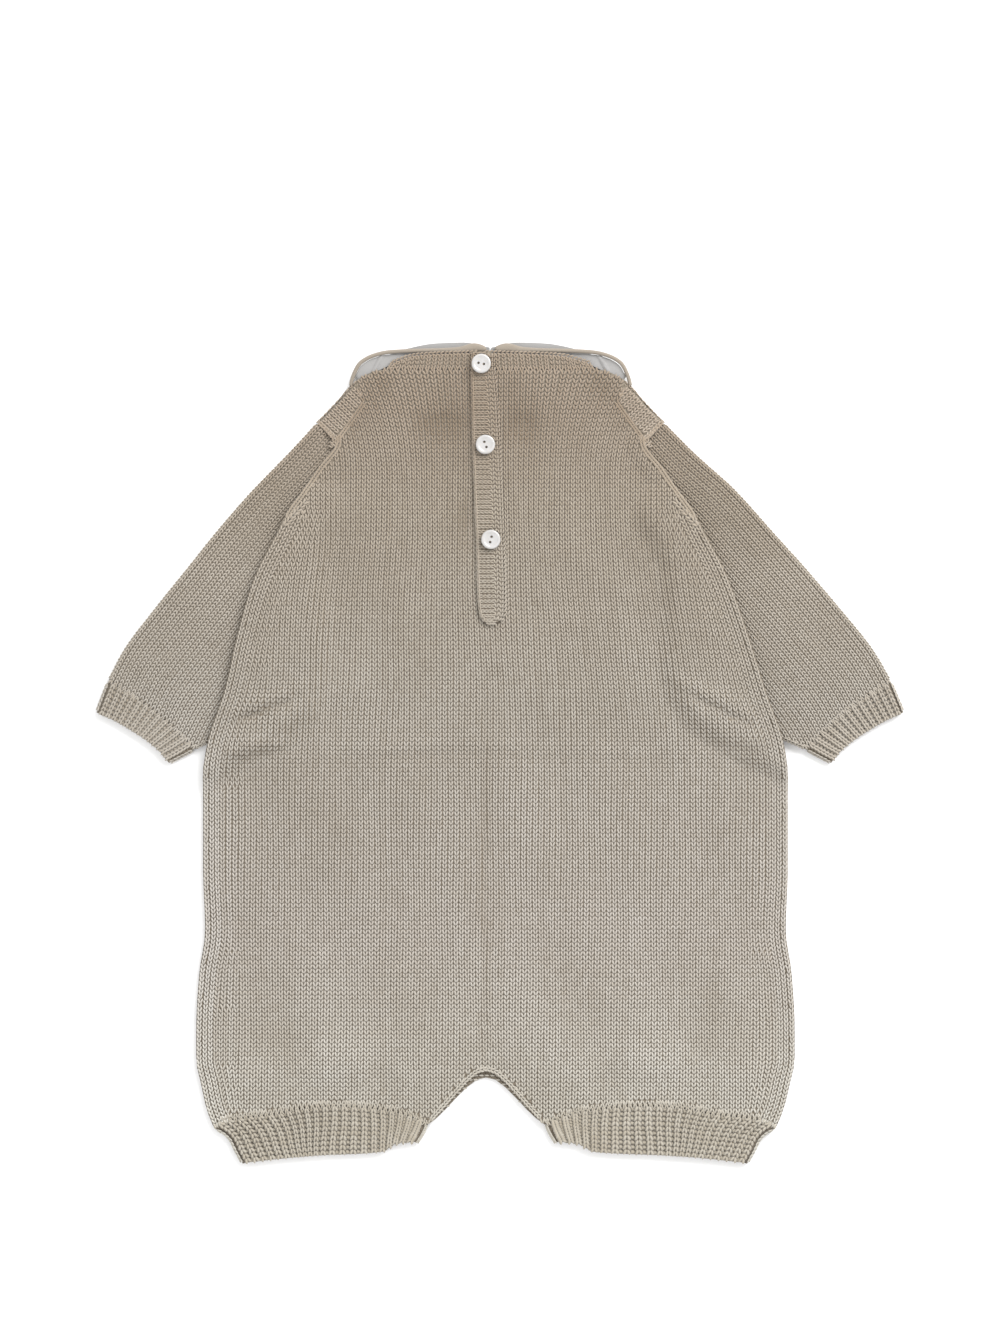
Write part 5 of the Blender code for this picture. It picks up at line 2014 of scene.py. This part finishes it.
@dataclass
class Neck:
    """Opening band, neckbands and buttons on the back."""

    wardrobe: Wardrobe
    back: Cloth
    band: float = 1.6
    right_reach: float = 10.6
    button_x: tuple[float, ...] = (-10.3, -8.0, -5.0)
    button_y: tuple[float, ...] = (213.4, 169.0, 116.9)
    button_turn: tuple[float, ...] = (-12.0, 112.0, 76.0)
    stitch: StitchShape = StitchShape(length=3.2, width=0.98, height=0.9, spread=0.5, lean=12)
    neck_stitch: StitchShape = StitchShape(length=2.9, width=1.14, height=0.95, spread=0.66, lean=22)

    def height(self, plan: Array) -> Array:
        """Height of the back's middle under plan points.

        Args:
            plan: the points.

        Returns:
            The heights.
        """
        ground = Ground(self.back.mid, self.back.normals())
        flat = plan.reshape(-1, 2).copy()
        flat[:, 1] = np.minimum(flat[:, 1], NECKLINE_Y)
        return ground.at(flat)[0][:, 2].reshape(plan.shape[:-1])

    def stitches(self, face: Array, out: Array, pitch: float, step: float, seed: int) -> Stitches:
        """Stitches in straight columns across a band.

        Args:
            face: grid of face points; the columns run along its second axis.
            out: the way out at each.
            pitch: width of a column.
            step: length of a stitch.
            seed: seed of the unevenness.

        Returns:
            The stitches.
        """
        both = np.concatenate([face, out], axis=-1)
        length = np.linalg.norm(np.diff(face[:, face.shape[1] // 2], axis=0), axis=1).sum()
        count = max(2, round(length / pitch))
        at = (np.arange(count) + 0.5) / count * (len(face) - 1)
        low = np.minimum(at.astype(int), len(face) - 2)
        part = (at - low)[:, None, None]
        lines = both[low] * (1 - part) + both[low + 1] * part
        return Stitches.joined([
            Stitches.column(line[:, :3], line[:, 3:], step, 0.28, seed + k)
            for k, line in enumerate(lines)
        ])

    def opening(self) -> Made:
        """Builds the band that closes the opening, knitted sideways.

        Returns:
            The pieces by name.
        """
        y = spaced((71.5, 76, NECKLINE_Y, 220.3), 2.6)
        left, right = (read(OPENING["y"], OPENING[key], y)[:, None] for key in ("left", "right"))
        x = left + (right - left) * np.linspace(0, 1, 7)
        plan = np.stack([x, np.broadcast_to(y[:, None], x.shape)], axis=-1)
        height = self.height(plan) + KNIT / 2 + SEAM + self.band / 2
        mid = np.concatenate([plan, height[..., None]], axis=-1)
        cloth = Cloth(mid, plan[..., ::-1].copy())
        made = cloth.add("opening_band_cloth", self.wardrobe.ground, back=-self.band / 2)
        face, out = cloth.face(GROUND), cloth.normals()
        every = self.stitches(face[:, :5], out[:, :5], 2.7, 2.1, 500)
        rolled = chain(face[:, 0] + (0.4, 0, 0), unit(out[:, 0] + (-0.6, 0, 0)), 2.0, 560, 0.15, 1.0)
        wales = [chain(face[:, 4] * (1 - s) + face[:, -1] * s, out[:, -1], 2.4, 563 + k, 0.3)
                 for k, s in enumerate((0.25, 0.85))]
        wales.append(chain(face[:, -1] + (0.8, 0, -0.8), unit(out[:, -1] + (0.4, 0, 0)), 2.4, 561, 0.1))
        end = chain(face[0] + (0, -0.3, -0.3), out[0], 1.9, 562, 0.2, 1.05)
        made |= Stitches.joined(wales).work("opening_band_join", self.neck_stitch, self.wardrobe)
        every = Stitches.joined([every, rolled, end])
        return made | every.work("opening_band_stitches", self.stitch, self.wardrobe)

    def neckband(self, side: Side) -> Made:
        """Builds the band along one half of the neckline.

        Args:
            side: the half.

        Returns:
            The pieces by name.
        """
        share, part = np.linspace(0, 1, 30), np.linspace(0, 1, 6)[:, None]
        columns = {key: read(NECKBAND["share"], NECKBAND[key], share)
                   for key in ("low_half", "low_y", "high_half", "high_y")}
        half = (1 - part) * columns["low_half"] + part * columns["high_half"]
        half = half - (side is Side.RIGHT) * self.right_reach * share
        y = (1 - part) * columns["low_y"] + part * columns["high_y"]
        plan = np.stack([MIDDLE + side.value * half, y], axis=-1)
        level = plan.copy()
        level[..., 1] = NECKLINE_Y
        mid = np.concatenate([plan, self.height(level)[..., None]], axis=-1)
        if side is Side.RIGHT:
            mid, plan = mid[:, ::-1], plan[:, ::-1]
        cloth = Cloth(mid, plan.copy())
        made = cloth.add(f"neckband_cloth_{side.word}", self.wardrobe.ground)
        face, out = cloth.face(GROUND).swapaxes(0, 1), cloth.normals().swapaxes(0, 1)
        top = cloth.face(GROUND)[-1] + (0, 0.6, -0.1)
        cast = chain(top, cloth.normals()[-1], 2.3, 760, 0.3, 1.05)
        spots, rise = even_pairs(face[:, 0], out[:, 0], 3.15)
        join = Stitches.on(spots + rise * 0.3 + (0, -0.3, 0), rise, ALONG_Y, 740)
        join.size[:, 1] *= 1.2
        every = Stitches.joined([self.stitches(face, out, 3.15, 2.1, 700), join, cast])
        return made | every.work(f"neckband_stitches_{side.word}", self.neck_stitch, self.wardrobe)

    def button(self, index: int) -> Made:
        """Builds a two-hole button, turned and dished inside its rim, with its thread.

        Args:
            index: its row in the tables.

        Returns:
            The pieces by name.
        """
        x, y = self.button_x[index], self.button_y[index]
        base = float(self.height(np.array([[x, min(y, NECKLINE_Y)]]))[0])
        base += KNIT / 2 + SEAM + self.band + 0.45
        button = Button(base=(x, y, base), turn=self.button_turn[index])
        return button.build(index + 1, self.wardrobe)

    def build(self) -> Made:
        """Builds the bands and the buttons.

        Returns:
            The pieces by name.
        """
        made = self.opening()
        for side in Side:
            made |= self.neckband(side)
        for index in range(len(self.button_x)):
            made |= self.button(index)
        return made


@dataclass
class Button:
    """Round two-hole shell button."""

    base: tuple[float, float, float]
    turn: float
    width: float = 10.7
    thick: float = 2.2
    rim: float = 1.5
    dish: float = 0.4
    hole: float = 1.4
    pitch: float = 3.0
    sharp: float = 35.0

    def build(self, number: int, house: Wardrobe) -> Made:
        """Builds the button and the thread that holds it.

        Args:
            number: the button's number.
            house: the finishes.

        Returns:
            The pieces by name.
        """
        r, t, d = self.width / 2, self.thick, self.dish
        profile = [
            (0, t - d), (r - self.rim - 1.0, t - d), (r - self.rim - 0.5, t - d + 0.12),
            (r - self.rim - 0.15, t - 0.18), (r - self.rim + 0.15, t - 0.03), (r - 0.75, t),
            (r - 0.35, t - 0.14), (r - 0.1, t - 0.45), (r, t - 0.8), (r - 0.05, t - 1.2),
            (r - 0.4, 0.35), (r - 1.1, 0.05), (0, 0),
        ]
        shape = bmesh.new()
        verts = [shape.verts.new((a, 0, z)) for a, z in profile]
        edges = [shape.edges.new(pair) for pair in zip(verts[:-1], verts[1:])]
        bmesh.ops.spin(shape, geom=verts + edges, cent=(0, 0, 0), axis=UP,
                       angle=2 * math.pi, steps=48, use_merge=True)
        bmesh.ops.remove_doubles(shape, verts=shape.verts, dist=1e-3)
        bmesh.ops.recalc_face_normals(shape, faces=shape.faces)
        shape.verts.index_update()
        points = np.array([tuple(v.co) for v in shape.verts])
        faces = [[v.index for v in f.verts] for f in shape.faces]
        shape.free()
        name = f"shell_button_{number}"
        disc = add_mesh(name + "_blank", self.placed(points), faces, house.shell, sharp=self.sharp)
        cutters = []
        for sign in (-1, 1):
            ring = [(math.cos(a) * self.hole / 2 + sign * self.pitch / 2, math.sin(a) * self.hole / 2)
                    for a in np.linspace(0, 2 * math.pi, 20, endpoint=False)]
            both = np.array([(x, y, z) for z in (-1.0, t + 1.0) for x, y in ring])
            sides = [(i, (i + 1) % 20, 20 + (i + 1) % 20, 20 + i) for i in range(20)]
            sides += [tuple(range(19, -1, -1)), tuple(range(20, 40))]
            cutters.append(add_mesh("hole", self.placed(both), sides, house.shell))
            cut = disc.modifiers.new("hole", "BOOLEAN")
            cut.operation, cut.object = "DIFFERENCE", cutters[-1]
        made = finished(name, disc, *cutters)
        made.data.set_sharp_from_angle(angle=math.radians(self.sharp))
        return {name: made} | self.thread(number, house)

    def placed(self, points: Array) -> Array:
        """Points of the button turned and moved to its place.

        Args:
            points: points about its own middle.

        Returns:
            The points in the garment.
        """
        c, s = math.cos(math.radians(self.turn)), math.sin(math.radians(self.turn))
        x = points[:, 0] * c - points[:, 1] * s + self.base[0]
        y = points[:, 0] * s + points[:, 1] * c + self.base[1]
        return np.column_stack([x, y, points[:, 2] + self.base[2]])

    def thread(self, number: int, house: Wardrobe) -> Made:
        """Thread through both holes and round the shank under the button.

        Args:
            number: the button's number.
            house: the finishes.

        Returns:
            The piece by its name.
        """
        low, high = -0.5, self.thick - self.dish - 0.55
        half = self.pitch / 2
        path = even_line(np.array([
            (-half, 0, low), (-half, 0, high - 0.2), (-half * 0.9, 0, high), (half * 0.9, 0, high),
            (half, 0, high - 0.2), (half, 0, low),
        ]), 0.2)
        along = unit(np.gradient(path, axis=0))
        side = np.tile(ALONG_Y, (len(path), 1))
        up = np.cross(along, side)
        angle = np.linspace(0, 2 * math.pi, 8, endpoint=False)
        rings = np.stack(
            [path + side * math.cos(a) * 0.42 + up * math.sin(a) * 0.24 for a in angle], axis=1)
        return tube_mesh(f"button_thread_{number}", rings, house.thread, self.placed)


def tube_mesh(
    name: str, rings: Array, material: bpy.types.Material, place: Callable[[Array], Array] = lambda p: p
) -> Made:
    """Adds a closed tube.

    Args:
        name: name of the piece.
        rings: rings of points along it.
        material: its finish.
        place: moves its points.

    Returns:
        The piece by its name.
    """
    count, sides = rings.shape[:2]
    faces: list[tuple[int, ...]] = []
    for low in range(0, (count - 1) * sides, sides):
        for c in range(sides):
            n = (c + 1) % sides
            faces.append((low + c, low + n, low + sides + n, low + sides + c))
    faces.append(tuple(reversed(range(sides))))
    faces.append(tuple(range((count - 1) * sides, count * sides)))
    return {name: add_mesh(name, place(rings.reshape(-1, 3)), faces, material)}


@dataclass
class Collar:
    """One half of the white collar and the binding along its turned-up edge."""

    wardrobe: Wardrobe
    side: Side
    thick: float = 1.0
    bound: float = 0.95
    count: int = 100

    def ribbon(self, table: dict[str, tuple[float, ...]], count: int) -> list[Array]:
        """Columns of a path table at even shares of its rows."""
        rows = np.arange(len(table["half"]))
        return [read(rows, row, np.linspace(0, rows[-1], count)) for row in table.values()]

    def build(self) -> Made:
        """Builds the collar and its binding.

        Returns:
            The pieces by name.
        """
        k, word = self.side.value, self.side.word
        half, y, out_half, out_y, z = self.ribbon(COLLAR_PATH, 181)
        inner = np.column_stack([MIDDLE + k * half, y, z])
        outer = np.column_stack([MIDDLE + k * out_half, out_y, z])
        across = np.linspace(0, 1, 17)[:, None, None]
        mid = (1 - across) * inner + across * outer
        fold = np.array([(60.0, 217.5), (64.5, 209.5)]) * (k, 1) + (MIDDLE, 0)
        mid[..., 2] += np.exp(-(distance_to(mid[..., :2], fold) / 0.7) ** 2) * (mid[..., 2] > 1.8)
        cloth = Cloth(mid, mid[..., :2].copy())
        out, back = self.thick / 2, -self.thick / 2
        made = cloth.add(f"collar_cloth_{word}", self.wardrobe.cotton, out, back)
        half, y, z, wide = self.ribbon(BINDING_PATH, self.count)
        line = np.column_stack([MIDDLE + k * half, y, z])
        along = unit(np.gradient(line, axis=0))
        sideways = unit(np.cross(along, UP))
        up = np.cross(sideways, along)
        fill = np.clip(1 - np.arange(self.count) / 3, 0, 1)
        fill = np.sqrt(np.clip(1 - fill**2, 0.03, 1))
        swell = fill * fill[::-1]
        angle = np.linspace(0, 2 * math.pi, 14, endpoint=False)
        rings = np.stack([
            line + sideways * (wide * swell * math.cos(a))[:, None]
            + up * (self.bound * swell * math.sin(a))[:, None] for a in angle
        ], axis=1)
        return made | tube_mesh(f"binding_cloth_{word}", rings, self.wardrobe.binding)


@dataclass
class Studio:
    """Pale floor, soft light and the camera."""

    wardrobe: Wardrobe
    lens: float = 85.0
    distance: float = 1.732
    aim: tuple[float, float, float] = (0.0, 0.04703, 0.003)

    def build(self) -> None:
        """Sets up the floor, the lights, the world and the camera."""
        bpy.ops.mesh.primitive_plane_add(size=6.0, location=(0, 0, -0.0004))
        floor = bpy.context.object
        floor.name = "floor"
        floor.data.materials.append(self.wardrobe.floor)
        world = bpy.data.worlds.new("soft_room")
        world.use_nodes = True
        sky = world.node_tree.nodes["Background"]
        sky.inputs[0].default_value = (1.0, 1.0, 1.0, 1.0)
        sky.inputs[1].default_value = 0.98
        bpy.context.scene.world = world
        self.lamp("key_lamp", (0.85, 1.2, 1.15), 1.1, 42.0)
        self.lamp("fill_lamp", (-1.2, -0.9, 1.7), 1.6, 12.0)
        eye = bpy.data.cameras.new("camera")
        eye.lens, eye.sensor_width = self.lens, 36.0
        camera = bpy.data.objects.new("camera", eye)
        camera.location = (self.aim[0], self.aim[1], self.aim[2] + self.distance)
        bpy.context.scene.collection.objects.link(camera)
        bpy.context.scene.camera = camera
        bpy.context.scene.view_settings.view_transform = "Standard"

    def lamp(self, name: str, place: tuple[float, float, float], size: float, power: float) -> None:
        """Adds a square lamp that looks at the middle of the garment.

        Args:
            name: its name.
            place: where it stands.
            size: its side in metres.
            power: its power in watts.
        """
        light = bpy.data.lights.new(name, "AREA")
        light.size, light.energy = size, power
        lamp = bpy.data.objects.new(name, light)
        lamp.location = place
        lamp.rotation_euler = (-Vector(place)).to_track_quat("-Z", "Y").to_euler()
        bpy.context.scene.collection.objects.link(lamp)


@dataclass(frozen=True)
class Cut:
    """A cloth piece: its node, flat size and area in metres, what it lies on, what it carries."""

    piece: str
    node: str
    flat: tuple[float, float]
    area: float
    on: tuple[str, ...] = ()
    carries: tuple[str, ...] = ()
    slot: str = "beige_knit"


def cuts() -> list[Cut]:
    """Every sheet of the garment, laid flat.

    Returns:
        The sheets.
    """
    every = [
        Cut("front_cloth", "front_panel", (0.330, 0.412), 0.113, (), ("front_purl",)),
        Cut("back_cloth", "back_panel", (0.330, 0.416), 0.115, ("front_cloth",),
            tuple(f"back_stitches_{k}" for k in (1, 2, 3, 4))),
        Cut("opening_band_cloth", "placket_band", (0.016, 0.150), 0.0021, ("back_cloth",),
            ("opening_band_stitches", "opening_band_join")),
    ]
    for side in Side:
        word = side.word
        every += [
            Cut(f"sleeve_cloth_{word}", f"sleeve_{word}", (0.112, 0.186), 0.0200, (),
                (f"sleeve_stitches_{word}",)),
            Cut(f"sleeve_rib_{word}_cloth", f"sleeve_rib_{word}", (0.120, 0.0185), 0.0020, (),
                (f"sleeve_rib_{word}_columns", f"sleeve_rib_{word}_bars")),
            Cut(f"leg_rib_{word}_cloth", f"leg_rib_{word}", (0.245, 0.0225), 0.0055, (),
                (f"leg_rib_{word}_columns", f"leg_rib_{word}_bars")),
            Cut(f"neckband_cloth_{word}", f"neckband_{word}", (0.010, 0.058), 0.00045,
                ("back_cloth",), (f"neckband_stitches_{word}",)),
            Cut(f"collar_cloth_{word}", f"collar_{word}", (0.020, 0.145), 0.0020, (),
                (f"binding_cloth_{word}",), "white_cotton"),
        ]
    return every


def main() -> None:
    """Builds the garment piece by piece, hides the nodes that it stands for and sets the studio up."""
    logging.basicConfig(level=logging.INFO, format="%(message)s")
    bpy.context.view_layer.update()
    house = Wardrobe()
    body = Body(house)
    made = body.build()
    for side in Side:
        for assembly in (Sleeve, Leg, Collar):
            made |= assembly(house, side).build()
    made |= Neck(house, body.top).build()
    for name, piece in made.items():
        LOG.info("%s: %d faces", name, len(piece.data.polygons))
        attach(piece, "root")
    dress(made)
    Studio(house).build()


def dress(made: Made) -> None:
    """Hides the nodes that the pieces stand for and logs each cut's area beside one face of its piece.

    Args:
        made: the pieces by name.
    """
    for cut in cuts():
        piece = made[cut.piece]
        carried = [made[name] for name in cut.carries]
        for part in (piece, *carried):
            "beige_binding" if part.name.startswith("binding") else cut.slot
        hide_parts(cut.node)
        list(cut.on)
        LOG.info("%s: cut %.4f m2, one face %.4f m2", cut.piece, cut.area, one_face(piece))
    for side in Side:
        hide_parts(f"collar_binding_{side.word}")
    for number in (1, 2, 3):
        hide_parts(f"button_{number}")


if __name__ == "__main__":
    main()
